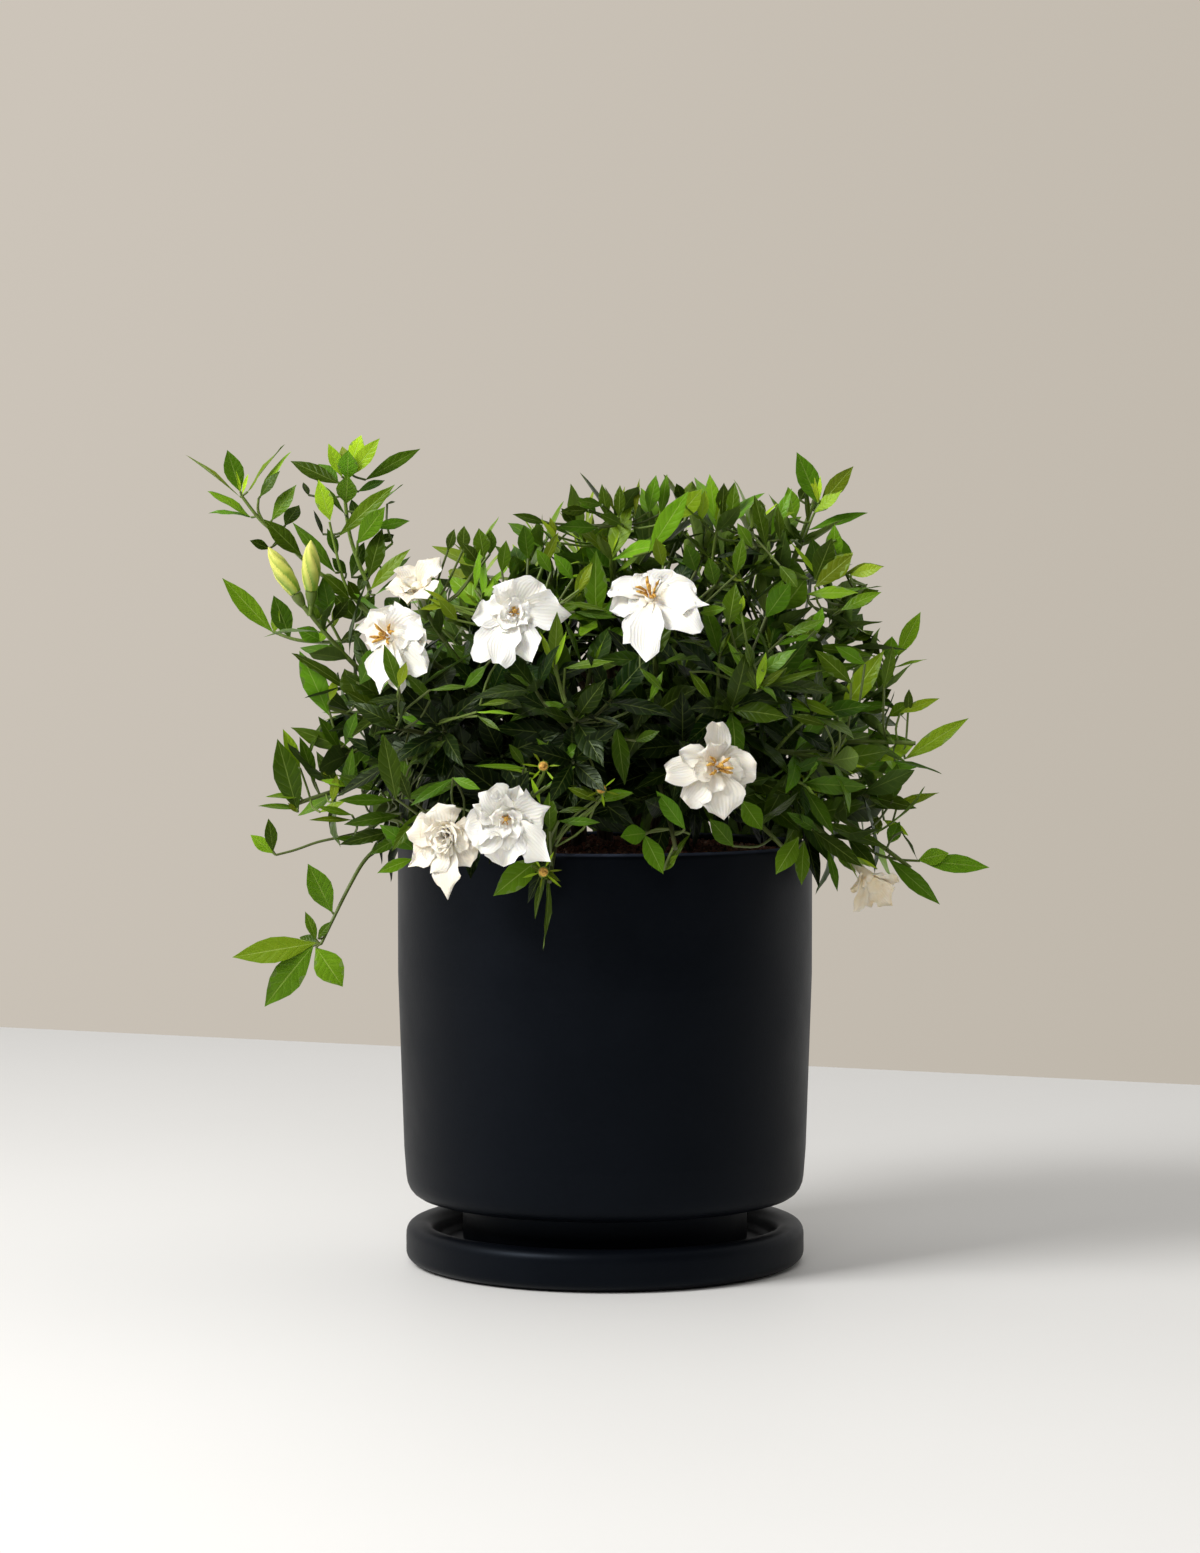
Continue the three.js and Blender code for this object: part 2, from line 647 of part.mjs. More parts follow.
// A petal from its socket: broad near its end, cupped, with a waved rim.
function growPetal(skin, socket, axis, petal) {
  const corners = socket.map((i) => skin.points[i]);
  const root = corners.reduce((sum, p) => sum.add(p), new THREE.Vector3()).divideScalar(4);
  const out = root.clone().sub(petal.middle);
  out.addScaledVector(axis, -out.dot(axis)).normalize();
  const dir = axis.clone().multiplyScalar(Math.cos(petal.lean)).addScaledVector(out, Math.sin(petal.lean));
  const face = axis.clone().multiplyScalar(Math.sin(petal.lean)).addScaledVector(out, -Math.cos(petal.lean));
  face.applyAxisAngle(dir, petal.roll);
  const side = new THREE.Vector3().crossVectors(dir, face);
  const spot = (t, across, raise) =>
    root
      .clone()
      .addScaledVector(dir, t * petal.length)
      .addScaledVector(face, (0.16 * Math.sin(Math.PI * t) - 0.2 * t ** 3) * petal.length + raise)
      .addScaledVector(side, across);
  const rings = petal.stations.map((t, j) => {
    const half = (petal.breadth * petal.length * Math.sin(Math.PI * t ** 1.6) ** 0.6) / 2;
    const ripple = petal.wave * (j % 2 ? 1 : -1);
    const lift = petal.cup * half;
    const mid = petalThickness / 2;
    return [spot(t, 0, mid), spot(t, half, lift + ripple), spot(t, 0, -mid), spot(t, -half, lift - ripple)];
  });
  growBlade(skin, socket, { rings, tip: spot(1, 0, 0) });
}

function makeBloom(bloom, seed) {
  const draw = drawsFrom(seed);
  const axis = vec(bloom.facing).normalize();
  const middle = vec(bloom.at);
  const reference = referenceFor(axis);
  const startTurn = draw() * Math.PI;
  const collar = ([height, radius], turn) =>
    ring(middle.clone().addScaledVector(axis, height), axis, squareTo(axis, reference, turn), radius, 6);
  const skin = new Skin();
  let loop = skin.begin(collar([-bloomTube.length, bloomTube.radius], startTurn));
  petalLayers.forEach((layer, k) => {
    const turn = startTurn + (k * Math.PI) / 6;
    const lowRing = collar(layer.collar.low, turn);
    const low = skin.grow(skin.turnedTo(loop, lowRing), lowRing);
    loop = skin.grow(low, collar(layer.collar.high, turn), { open: [0, 1, 2, 3, 4, 5] });
    for (let i = 0; i < 6; i++) {
      growPetal(skin, socketOf(low, loop, i), axis, {
        ...layer,
        middle,
        lean: layer.lean + (draw() - 0.5) * 0.16 - bloom.age * 0.1,
        length: layer.reach * bloom.width * (0.92 + 0.16 * draw()),
        wave: 0.5 + 0.6 * draw(),
      });
    }
  });
  heart.rings.forEach((place, k) => {
    const furl = collar(place, startTurn + (k + 1) * 0.6);
    loop = skin.grow(skin.turnedTo(loop, furl), furl);
  });
  skin.end(loop, middle.clone().addScaledVector(axis, heart.top));
  return skin.solid();
}

// A furled bud: its petals wind round it in a low spiral.
function makeBud(base, bud) {
  const axis = vec(bud.points).normalize();
  const reference = referenceFor(axis);
  const girths = [
    [0, 0.55],
    [0.3, 0.85],
    [0.55, 1],
    [0.8, 0.7],
  ];
  const skin = new Skin();
  const rings = girths.map(([share, girth]) => {
    const centre = base.clone().addScaledVector(axis, share * bud.length);
    const round = ring(centre, axis, squareTo(axis, reference, share * 1.6), girth * bud.radius, 8);
    return round.map((p, i) => p.lerp(centre, i % 2 ? 0.2 : 0));
  });
  let loop = skin.begin(rings[0]);
  for (const ring of rings.slice(1)) loop = skin.grow(loop, ring);
  skin.end(loop, base.clone().addScaledVector(axis, bud.length));
  return skin.solid();
}

// ---------------------------------------------------------------- assembly
const placed = []; // the room taken so far, and the node, stem or whorl that takes it

function take(owner, solid) {
  placed.push({ owner, solid, box: solid.boundingBox() });
}

// Whether a growth has room. What it grows from, and its sisters there, may touch it near its root.
function isClear(room, outerRoom, kin) {
  const { min, max } = room.boundingBox();
  const meets = ({ box }) => [0, 1, 2].every((k) => min[k] <= box.max[k] && box.min[k] <= max[k]);
  return !placed.some((other) => {
    const mine = kin.includes(other.owner) ? outerRoom : room;
    return meets(other) && !mine.intersect(other.solid).isEmpty();
  });
}

const materials = {
  glaze: new THREE.MeshStandardMaterial({ color: 0x14171c, roughness: 0.45, metalness: 0 }),
  soil: new THREE.MeshStandardMaterial({ color: 0x3a241a, roughness: 0.95, metalness: 0 }),
  bark: new THREE.MeshStandardMaterial({ color: 0x5a4630, roughness: 0.85, metalness: 0 }),
  leaf: new THREE.MeshStandardMaterial({ color: 0x2f5a1c, roughness: 0.35, metalness: 0 }),
  petal: new THREE.MeshStandardMaterial({ color: 0xf6f1e6, roughness: 0.55, metalness: 0 }),
  bud: new THREE.MeshStandardMaterial({ color: 0xd6dc8a, roughness: 0.5, metalness: 0 }),
};
const gardenia = new THREE.Group();

function addNode(name, solid, material) {
  const mesh = new THREE.Mesh(geometryOf(solid), material);
  mesh.name = name;
  gardenia.add(mesh);
}

const forks = plantForks();
const sprays = [
  ...Object.entries(leafySprays).map(([name, tip], i) => ({
    name: `spray_${name}`,
    habit: name,
    tip: vec(tip),
    seed: 101 + 37 * i,
  })),
  ...Object.entries(blooms).map(([name, bloom], i) => ({
    name: `flower_stem_${name}`,
    tip: bloomBase(bloom),
    approach: vec(bloom.facing).normalize(),
    seed: 5003 + 41 * i,
  })),
  { name: "bud_stem", tip: vec(budSpray.tip), approach: vec(budSpray.approach).normalize(), seed: 907 },
];
routeSprays(sprays, forks);
for (const spray of sprays) spray.plan = planSpray(spray);

addNode("pot", makePot(), materials.glaze);
addNode("saucer", makeSaucer(), materials.glaze);
addNode("soil", makeSoil(forks.map((fork) => fork.foot)), materials.soil);
for (const fork of forks) addNode(fork.name, makeWood(fork), materials.bark);
Object.entries(blooms).forEach(([name, bloom], i) => {
  addNode(`bloom_${name}`, makeBloom(bloom, 31 + 17 * i), materials.petal);
  const { main } = sprays.find((spray) => spray.name === `flower_stem_${name}`).plan;
  main.finish = calyxAt(bloomBase(bloom), vec(bloom.facing).normalize(), main.reference, main.sides);
});
const { main: budStem } = sprays.find((spray) => spray.name === "bud_stem").plan;
const budLevel = { t: 1 - 4 / budStem.span, turn: 0, growths: [] };
budStem.finish = { rings: [] };
Object.entries(buds).forEach(([name, bud], i) => {
  const axis = vec(bud.points).normalize();
  const { root, out } = faceOf(budStem, budLevel.t, budLevel.turn, i * 3);
  const base = root.clone().addScaledVector(axis, 12).addScaledVector(out, 1);
  addNode(`bud_${name}`, makeBud(base, bud), materials.bud);
  const stalk = planStem(new THREE.LineCurve3(root, base), 4, [1.1, 1.1]);
  stalk.finish = calyxAt(base, axis, stalk.reference, stalk.sides);
  budLevel.growths[i * 3] = stalk;
});
budStem.levels.push(budLevel);
for (const mesh of gardenia.children) take(mesh.name, solidOf(mesh.geometry));

// The stems take their room first, then the side shoots, where they are clear.
for (const { plan } of sprays) take(plan.main, bareStem(plan.main));
for (const { plan } of sprays) {
  const fits = (shoot) => isClear(bareStem(shoot, 0, 1), bareStem(shoot, 0.3, 1), [plan.main]);
  const shoot = plan.shoots.find(fits);
  if (!shoot) continue;
  take(shoot, bareStem(shoot));
  const growths = [];
  growths[shoot.at] = shoot;
  plan.main.levels.push({ t: plan.shootAt, turn: plan.shootTurn, growths });
  plan.leaves.push(...shoot.leaves);
}
// Leaves follow in rounds from the tips inwards, each where it is clear of all that is there.
const allRanks = sprays.flatMap(({ plan }) => plan.leaves.map((leaf) => leaf.rank));
const ranks = [...new Set(allRanks)].sort((a, b) => a - b);
for (const rank of ranks) {
  for (const { plan } of sprays) {
    for (const leaf of plan.leaves.filter((leaf) => leaf.rank === rank)) {
      const kin = [leaf.level, leaf.level.plan];
      if (!isClear(bladeRoom(leaf, 0, leafRoom), bladeRoom(leaf, 0.14, leafRoom), kin)) continue;
      take(leaf.level, bladeRoom(leaf, 0, 0));
      leaf.level.growths[leaf.at] = leaf;
    }
  }
}
for (const { name, plan } of sprays) {
  const skin = new Skin();
  growStem(skin, plan.main);
  addNode(name, skin.solid(), materials.leaf);
}

export default gardenia;
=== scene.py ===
import math
from itertools import combinations
import bmesh
import bpy
import numpy as np
from mathutils import Matrix, Quaternion, Vector, noise


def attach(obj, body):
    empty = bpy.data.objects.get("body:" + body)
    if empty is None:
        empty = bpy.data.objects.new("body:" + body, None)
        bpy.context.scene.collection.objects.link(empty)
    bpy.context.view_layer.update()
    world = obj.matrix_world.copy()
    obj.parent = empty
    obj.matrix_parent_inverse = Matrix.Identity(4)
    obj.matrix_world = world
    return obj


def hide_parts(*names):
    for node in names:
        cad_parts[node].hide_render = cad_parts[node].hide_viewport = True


# A potted gardenia. Sizes are in millimetres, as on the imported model, and turn to metres in meshFrom.
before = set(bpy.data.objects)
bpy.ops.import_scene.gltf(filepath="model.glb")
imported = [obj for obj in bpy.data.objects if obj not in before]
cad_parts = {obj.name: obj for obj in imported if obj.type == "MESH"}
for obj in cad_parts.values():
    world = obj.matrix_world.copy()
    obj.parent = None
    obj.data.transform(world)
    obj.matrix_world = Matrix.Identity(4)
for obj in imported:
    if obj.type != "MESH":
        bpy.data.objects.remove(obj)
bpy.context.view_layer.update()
metres = 0.001
up = Vector((0, 0, 1))
toFront = Vector((0, -1, 0))
rootBody = "root"

# ------------------------------------------------ meshes

def linkPiece(name, mesh):
    piece = bpy.data.objects.new(name, mesh)
    bpy.context.scene.collection.objects.link(piece)
    return piece


def meshFrom(name, points, faces, smooth=True):
    mesh = bpy.data.meshes.new(name)
    mesh.from_pydata([tuple(metres * c for c in p) for p in points], [], faces)
    mesh.polygons.foreach_set("use_smooth", [smooth] * len(mesh.polygons))
    mesh.update()
    return mesh


def facesOut(mesh):
    work = bmesh.new()
    work.from_mesh(mesh)
    bmesh.ops.recalc_face_normals(work, faces=work.faces)
    work.to_mesh(mesh)
    work.free()


def giveAttribute(mesh, name, kind, domain, values):
    layer = mesh.attributes.new(name, kind, domain)
    flat = np.array(values, dtype=np.int32 if kind == "INT" else np.float32).ravel()
    layer.data.foreach_set("vector" if kind == "FLOAT_VECTOR" else "value", flat)


# An outline's corners are (radius, height, rounding); a rounding of 0 keeps the corner sharp.
def roundedOutline(corners, closed, steps=6):
    count = len(corners)
    outline = []
    for i, (r, z, rounding) in enumerate(corners):
        atEnd = not closed and i in (0, count - 1)
        here = Vector((r, z))
        if rounding == 0 or atEnd:
            outline.append((r, z))
            continue
        before = Vector(corners[i - 1][:2]) - here
        after = Vector(corners[(i + 1) % count][:2]) - here
        turn = before.angle(after)
        reach = min(rounding / math.tan(turn / 2), 0.49 * before.length, 0.49 * after.length)
        start, end = here + before.normalized() * reach, here + after.normalized() * reach
        for k in range(steps + 1):
            t = k / steps
            outline.append(tuple((1 - t) ** 2 * start + 2 * t * (1 - t) * here + t * t * end))
    return outline


# A solid of revolution about Z, from an outline that closes on itself or starts and ends on Z.
def turnedMesh(name, outline, sides, closed, heightAt=None):
    points, faces, rings = [], [], []
    for r, z in outline:
        if r == 0:
            rings.append([len(points)])
            points.append((0, 0, z if heightAt is None else heightAt(0, 0, z)))
            continue
        rings.append(list(range(len(points), len(points) + sides)))
        for i in range(sides):
            x, y = r * math.cos(2 * math.pi * i / sides), r * math.sin(2 * math.pi * i / sides)
            points.append((x, y, z if heightAt is None else heightAt(x, y, z)))
    for low, high in zip(rings, rings[1:] + (rings[:1] if closed else [])):
        for i in range(sides):
            j = (i + 1) % sides
            quad = [low[i % len(low)], low[j % len(low)], high[j % len(high)], high[i % len(high)]]
            faces.append(list(dict.fromkeys(quad)))
    mesh = meshFrom(name, points, faces)
    facesOut(mesh)
    return mesh


# A thin closed leaf-like body. rows holds, for each step along it, the points across its upper
# face, rim to rim; lower holds the same for its under face. The rims are shared.
def blankMesh(base, rows, lower, tip):
    across = len(rows[0])
    points = [base, tip]
    topIds, lowIds = [], []
    for rowTop, rowLow in zip(rows, lower):
        first = len(points)
        points.extend(rowTop)
        points.extend(rowLow[1:-1])
        topIds.append(list(range(first, first + across)))
        inner = list(range(first + across, first + 2 * across - 2))
        lowIds.append([first, *inner, first + across - 1])
    faces, under = [], []
    for ids, isUnder in ((topIds, 0), (lowIds, 1)):
        strips = [[0] * across, *ids, [1] * across]
        for near, far in zip(strips, strips[1:]):
            for i in range(across - 1):
                quad = list(dict.fromkeys([near[i], near[i + 1], far[i + 1], far[i]]))
                faces.append(quad[::-1] if isUnder else quad)
                under.append(isUnder)
    return points, faces, under, topIds, lowIds


# The creases along the rims stay sharp.
def creaseRims(mesh, rims):
    for edge in mesh.edges:
        edge.use_edge_sharp = edge.vertices[0] in rims and edge.vertices[1] in rims


def giveUvs(mesh, uvOf):
    layer = mesh.uv_layers.new(name="UVMap")
    for loop in mesh.loops:
        layer.data[loop.index].uv = uvOf[loop.vertex_index]


def nearest(spots, place):
    return min(spots, key=lambda spot: (spot - place).length)


# The level way at a turn from X towards Y.
def levelWay(turn):
    return Vector((math.cos(turn), math.sin(turn), 0))


def squareTo(axis, reference, turn):
    flat = (reference - axis * reference.dot(axis)).normalized()
    return Quaternion(axis, turn) @ flat


def referenceFor(direction):
    sizes = [abs(c) for c in direction]
    return Vector([1.0 if k == sizes.index(min(sizes)) else 0.0 for k in range(3)])


# The matrix whose Z is the axis, and the direction of its X.
def standOn(place, axis):
    across = squareTo(axis, referenceFor(axis), 0)
    turned = Matrix((across, axis.cross(across), axis)).transposed()
    return Matrix.Translation(place) @ turned.to_4x4(), across


print("helpers ready")

# ------------------------------------------------ node trees

def plug(tree, socket, value):
    if isinstance(value, bpy.types.NodeSocket):
        tree.links.new(value, socket)
    else:
        socket.default_value = value


def addNode(tree, kind, inputs=None, **settings):
    made = tree.nodes.new(kind)
    for key, value in settings.items():
        setattr(made, key, value)
    for key, value in (inputs or {}).items():
        plug(tree, made.inputs[key], value)
    return made


def calc(tree, operation, a, b=0.0, c=0.0, clamp=False):
    node = addNode(tree, "ShaderNodeMath", {0: a, 1: b, 2: c}, operation=operation, use_clamp=clamp)
    return node.outputs[0]


def mixColour(tree, share, a, b):
    node = addNode(tree, "ShaderNodeMix", data_type="RGBA")
    plug(tree, node.inputs[0], share)
    plug(tree, node.inputs[6], a)
    plug(tree, node.inputs[7], b)
    return node.outputs[2]


def spread(tree, value, low, high, toLow=0.0, toHigh=1.0):
    node = addNode(tree, "ShaderNodeMapRange", {0: value, 1: low, 2: high, 3: toLow, 4: toHigh})
    return node.outputs[0]


def noiseAt(tree, place, scale, detail=3.0, roughness=0.55):
    inputs = {"Vector": place, "Scale": scale, "Detail": detail, "Roughness": roughness}
    return addNode(tree, "ShaderNodeTexNoise", inputs).outputs["Fac"]


def read(tree, name):
    return addNode(tree, "ShaderNodeAttribute", attribute_name=name).outputs["Fac"]


# The UV map's two coordinates: the share along a blade or petal, and the share across it.
def readUv(tree):
    uv = addNode(tree, "ShaderNodeUVMap", uv_map="UVMap").outputs[0]
    return addNode(tree, "ShaderNodeSeparateXYZ", {0: uv}).outputs[:2]


def objectPlace(tree):
    return addNode(tree, "ShaderNodeTexCoord").outputs["Object"]


def newMaterial(name):
    material = bpy.data.materials.new(name)
    material.use_nodes = True
    return material, material.node_tree, material.node_tree.nodes["Principled BSDF"]


# Gives a shader its colour, and a roughness that a pattern moves between two values.
def coat(tree, shader, colour, pattern, roughness):
    plug(tree, shader.inputs["Base Color"], colour)
    plug(tree, shader.inputs["Roughness"], spread(tree, pattern, 0.3, 0.7, *roughness))


def bumpFrom(tree, shader, height, strength, distance):
    bump = addNode(tree, "ShaderNodeBump", {"Strength": strength, "Distance": distance, "Height": height})
    tree.links.new(bump.outputs[0], shader.inputs["Normal"])


def newTree(name, inputs):
    tree = bpy.data.node_groups.new(name, "GeometryNodeTree")
    tree.interface.new_socket("Geometry", in_out="INPUT", socket_type="NodeSocketGeometry")
    for label, (kind, value) in inputs.items():
        socket = tree.interface.new_socket(label, in_out="INPUT", socket_type=f"NodeSocket{kind}")
        if value is not None:
            socket.default_value = value
    tree.interface.new_socket("Geometry", in_out="OUTPUT", socket_type="NodeSocketGeometry")
    return tree, tree.nodes.new("NodeGroupInput").outputs, tree.nodes.new("NodeGroupOutput").inputs


# Runs a tree on a piece and keeps what it makes as the piece's own plain mesh.
def growWith(tree, piece, settings):
    modifier = piece.modifiers.new(tree.name, "NODES")
    modifier.node_group = tree
    sockets = {s.name: s.identifier for s in tree.interface.items_tree if s.in_out == "INPUT"}
    for label, value in settings.items():
        modifier[sockets[label]] = value
    keepEvaluated(piece)


def keepEvaluated(piece):
    depsgraph = bpy.context.evaluated_depsgraph_get()
    made = bpy.data.meshes.new_from_object(
        piece.evaluated_get(depsgraph), preserve_all_data_layers=True, depsgraph=depsgraph
    )
    piece.modifiers.clear()
    piece.data = made
    made.polygons.foreach_set("use_smooth", [True] * len(made.polygons))


# ------------------------------------------------ finishes

glazeLook = {
    "colour": (0.0014, 0.0019, 0.0032, 1),
    "paler": (0.0024, 0.0031, 0.0048, 1),
    "mottle": 22.0,
    "grain": 900.0,
    "roughness": (0.4, 0.5),
    "bump": (0.12, 0.0004),
    "shine": 0.1,  # the glaze is satin: only its turning edges shine
    "shineTint": (0.66, 0.8, 1.0, 1),
    "rimHighlight": (0.075, 0.09, 0.135, 1),  # painted highlight: a pale blue line along the top of the rim
    "rimTop": (0.2165, 0.2178),  # metres
}


def makeGlaze():
    material, tree, shader = newMaterial("navyGlaze")
    place = objectPlace(tree)
    mottle = noiseAt(tree, place, glazeLook["mottle"], 5.0, 0.6)
    grain = noiseAt(tree, place, glazeLook["grain"], 2.0)
    colour = mixColour(tree, spread(tree, mottle, 0.35, 0.7), glazeLook["colour"], glazeLook["paler"])
    height = addNode(tree, "ShaderNodeSeparateXYZ", {0: place}).outputs[2]
    # Painted highlight: the top of the rim, within rimTop, is painted pale blue.
    colour = mixColour(tree, spread(tree, height, *glazeLook["rimTop"]), colour, glazeLook["rimHighlight"])
    coat(tree, shader, colour, mottle, glazeLook["roughness"])
    shader.inputs["Specular Tint"].default_value = glazeLook["shineTint"]
    shader.inputs["Specular IOR Level"].default_value = glazeLook["shine"]
    bumpFrom(tree, shader, calc(tree, "MULTIPLY_ADD", mottle, 3.0, grain), *glazeLook["bump"])
    return material


soilLook = {
    "dark": (0.004, 0.0022, 0.0016, 1),
    "warm": (0.36, 0.155, 0.095, 1),
    "speck": (0.52, 0.33, 0.24, 1),
    "coarse": 260.0,
    "fine": 1400.0,
    "roughness": (0.75, 0.98),
    "bump": (0.8, 0.0006),
}


def makeSoilMaterial():
    material, tree, shader = newMaterial("pottingSoil")
    place = objectPlace(tree)
    coarse = noiseAt(tree, place, soilLook["coarse"], 4.0, 0.65)
    fine = noiseAt(tree, place, soilLook["fine"], 3.0, 0.6)
    tint = read(tree, "tint")
    share = calc(tree, "MULTIPLY_ADD", tint, 0.8, spread(tree, coarse, 0.3, 0.8), clamp=True)
    colour = mixColour(tree, share, soilLook["dark"], soilLook["warm"])
    colour = mixColour(tree, spread(tree, tint, 0.93, 0.97), colour, soilLook["speck"])
    coat(tree, shader, colour, fine, soilLook["roughness"])
    bumpFrom(tree, shader, calc(tree, "ADD", coarse, fine), *soilLook["bump"])
    return material


barkLook = {
    "dark": (0.022, 0.013, 0.007, 1),
    "pale": (0.17, 0.115, 0.062, 1),
    "stretch": (900.0, 900.0, 120.0),
    "roughness": (0.95, 0.7),
    "bump": (0.9, 0.0008),
}


def makeBark():
    material, tree, shader = newMaterial("gardeniaBark")
    fitted = addNode(tree, "ShaderNodeMapping", {"Vector": objectPlace(tree), "Scale": barkLook["stretch"]})
    streaks = noiseAt(tree, fitted.outputs[0], 1.0, 4.0, 0.65)
    colour = mixColour(tree, spread(tree, streaks, 0.32, 0.68), barkLook["dark"], barkLook["pale"])
    coat(tree, shader, colour, streaks, barkLook["roughness"])
    bumpFrom(tree, shader, streaks, *barkLook["bump"])
    return material


stemLook = {
    "young": (0.19, 0.3, 0.03, 1),
    "old": (0.05, 0.06, 0.015, 1),
    "brown": (0.06, 0.035, 0.015, 1),
    "patches": 300.0,
    "roughness": (0.42, 0.6),
    "bump": (0.3, 0.0004),
}


def makeStemMaterial():
    material, tree, shader = newMaterial("greenStem")
    patches = noiseAt(tree, objectPlace(tree), stemLook["patches"], 4.0)
    # The freshness attribute carries painted shade: stems where little light falls get the old, darker green.
    colour = mixColour(tree, read(tree, "fresh"), stemLook["old"], stemLook["young"])
    colour = mixColour(tree, spread(tree, patches, 0.5, 0.8, 0.0, 0.6), colour, stemLook["brown"])
    coat(tree, shader, colour, patches, stemLook["roughness"])
    bumpFrom(tree, shader, patches, *stemLook["bump"])
    return material


leafLook = {
    "dark": (0.0036, 0.0135, 0.0009, 1),
    "mid": (0.095, 0.19, 0.006, 1),
    "young": (0.31, 0.43, 0.016, 1),
    "underOld": (0.01, 0.024, 0.005, 1),
    "underYoung": (0.21, 0.31, 0.07, 1),
    "rib": (0.36, 0.47, 0.1, 1),
    "patches": 160.0,
    "ageSpread": 0.12,
    "value": (0.4, 1.65),
    "hue": (0.485, 0.515),
    "undersideShare": 0.75,
    "veins": 7.0,
    "slant": 2.6,
    "veinShare": 0.06,
    "ribWidth": (0.01, 0.034),
    "ribShare": (0.16, 0.5),  # on old and on young leaves
    "bump": (0.22, 0.0005),
    "roughness": (0.26, 0.42),
    "underRoughness": 0.58,
    "shine": 0.17,
    "shineTint": (0.8, 1.0, 0.62, 1),
    "glow": 0.15,  # the light that comes through a blade
    "glowRadius": (0.0012, 0.002, 0.0003),
}


def makeLeafMaterial():
    look = leafLook
    material, tree, shader = newMaterial("gardeniaLeaf")
    along, across = readUv(tree)
    off = calc(tree, "ABSOLUTE", calc(tree, "SUBTRACT", across, 0.5))
    # The freshness and shade attributes carry painted light and shade: leaves where little light falls get
    # the dark colours and a low value, leaves in light the young ones.
    fresh, shade, under = read(tree, "fresh"), read(tree, "shade"), read(tree, "underside")
    patches = noiseAt(tree, objectPlace(tree), look["patches"], 3.0)
    uneven = calc(tree, "SUBTRACT", patches, 0.5)
    # How young the leaf looks, with uneven patches; this also carries the painted light and shade of the
    # freshness.
    aged = calc(tree, "MULTIPLY_ADD", uneven, look["ageSpread"], fresh, clamp=True)
    colour = mixColour(tree, spread(tree, aged, 0.0, 0.5), look["dark"], look["mid"])
    colour = mixColour(tree, spread(tree, aged, 0.5, 1.0), colour, look["young"])
    value = addNode(tree, "ShaderNodeHueSaturation", {
        "Color": colour, "Value": spread(tree, shade, 0, 1, *look["value"]),
    })
    plug(tree, value.inputs["Hue"], spread(tree, shade, 0, 1, *look["hue"]))
    below = mixColour(tree, spread(tree, aged, 0.0, 0.8), look["underOld"], look["underYoung"])
    belowShare = calc(tree, "MULTIPLY", under, look["undersideShare"])
    colour = mixColour(tree, belowShare, value.outputs[0], below)
    # Side veins run from the rib towards the rim and lean to the tip.
    phase = calc(tree, "MULTIPLY_ADD", off, -look["slant"], calc(tree, "MULTIPLY", along, look["veins"]))
    wave = calc(tree, "SINE", calc(tree, "MULTIPLY", phase, 2 * math.pi))
    vein = calc(tree, "MULTIPLY", spread(tree, wave, 0.86, 1.0), look["veinShare"])
    rib = spread(tree, off, *look["ribWidth"], 1.0, 0.0)
    ribShare = calc(tree, "MULTIPLY", rib, spread(tree, aged, 0.0, 0.6, *look["ribShare"]))
    lines = calc(tree, "MAXIMUM", vein, ribShare)
    plug(tree, shader.inputs["Base Color"], mixColour(tree, lines, colour, look["rib"]))
    gloss = spread(tree, patches, 0.3, 0.7, *look["roughness"])
    roughness = addNode(tree, "ShaderNodeMix", {0: under, 2: gloss, 3: look["underRoughness"]})
    plug(tree, shader.inputs["Roughness"], roughness.outputs[0])
    shader.inputs["Specular IOR Level"].default_value = look["shine"]
    shader.inputs["Specular Tint"].default_value = look["shineTint"]
    shader.inputs["Subsurface Weight"].default_value = look["glow"]
    shader.inputs["Subsurface Radius"].default_value = look["glowRadius"]
    swell = calc(tree, "MULTIPLY", spread(tree, wave, 0.0, 1.0), -1.0)
    bumpFrom(tree, shader, calc(tree, "MULTIPLY_ADD", rib, -1.5, swell), *look["bump"])
    return material


petalLook = {
    "white": (0.95, 0.93, 0.865, 1),
    "cream": (0.8, 0.61, 0.3, 1),
    "heel": (0.86, 0.74, 0.4, 1),
    "edge": (0.62, 0.43, 0.2, 1),
    "patches": 120.0,
    "furrows": 70.0,
    "roughness": (0.48, 0.62),
    "scatter": 0.3,
    "scatterRadius": (0.006, 0.005, 0.003),
    "bump": (0.18, 0.0004),
}


def makePetalMaterial():
    look = petalLook
    material, tree, shader = newMaterial("gardeniaPetal")
    along, across = readUv(tree)
    patches = noiseAt(tree, objectPlace(tree), look["patches"], 4.0)
    age = read(tree, "age")
    cream = calc(tree, "MULTIPLY", age, spread(tree, patches, 0.3, 0.65, 0.35, 1.0), clamp=True)
    colour = mixColour(tree, cream, look["white"], look["cream"])
    colour = mixColour(tree, spread(tree, along, 0.0, 0.35, 0.55, 0.0), colour, look["heel"])
    # Old petals turn brown here and there along the rim.
    rim = spread(tree, calc(tree, "ABSOLUTE", calc(tree, "SUBTRACT", across, 0.5)), 0.44, 0.5)
    aged = calc(tree, "MULTIPLY", rim, age)
    worn = calc(tree, "MULTIPLY", aged, spread(tree, patches, 0.5, 0.6), clamp=True)
    colour = mixColour(tree, worn, colour, look["edge"])
    coat(tree, shader, colour, patches, look["roughness"])
    shader.inputs["Subsurface Weight"].default_value = look["scatter"]
    shader.inputs["Subsurface Radius"].default_value = look["scatterRadius"]
    furrows = calc(tree, "SINE", calc(tree, "MULTIPLY", across, look["furrows"]))
    bumpFrom(tree, shader, calc(tree, "MULTIPLY_ADD", patches, 3.0, furrows), *look["bump"])
    return material


stamenLook = {
    "pale": (0.85, 0.52, 0.09, 1),
    "dark": (0.36, 0.15, 0.02, 1),
    "patches": 700.0,
    "roughness": 0.7,
    "bump": (0.5, 0.0002),
}


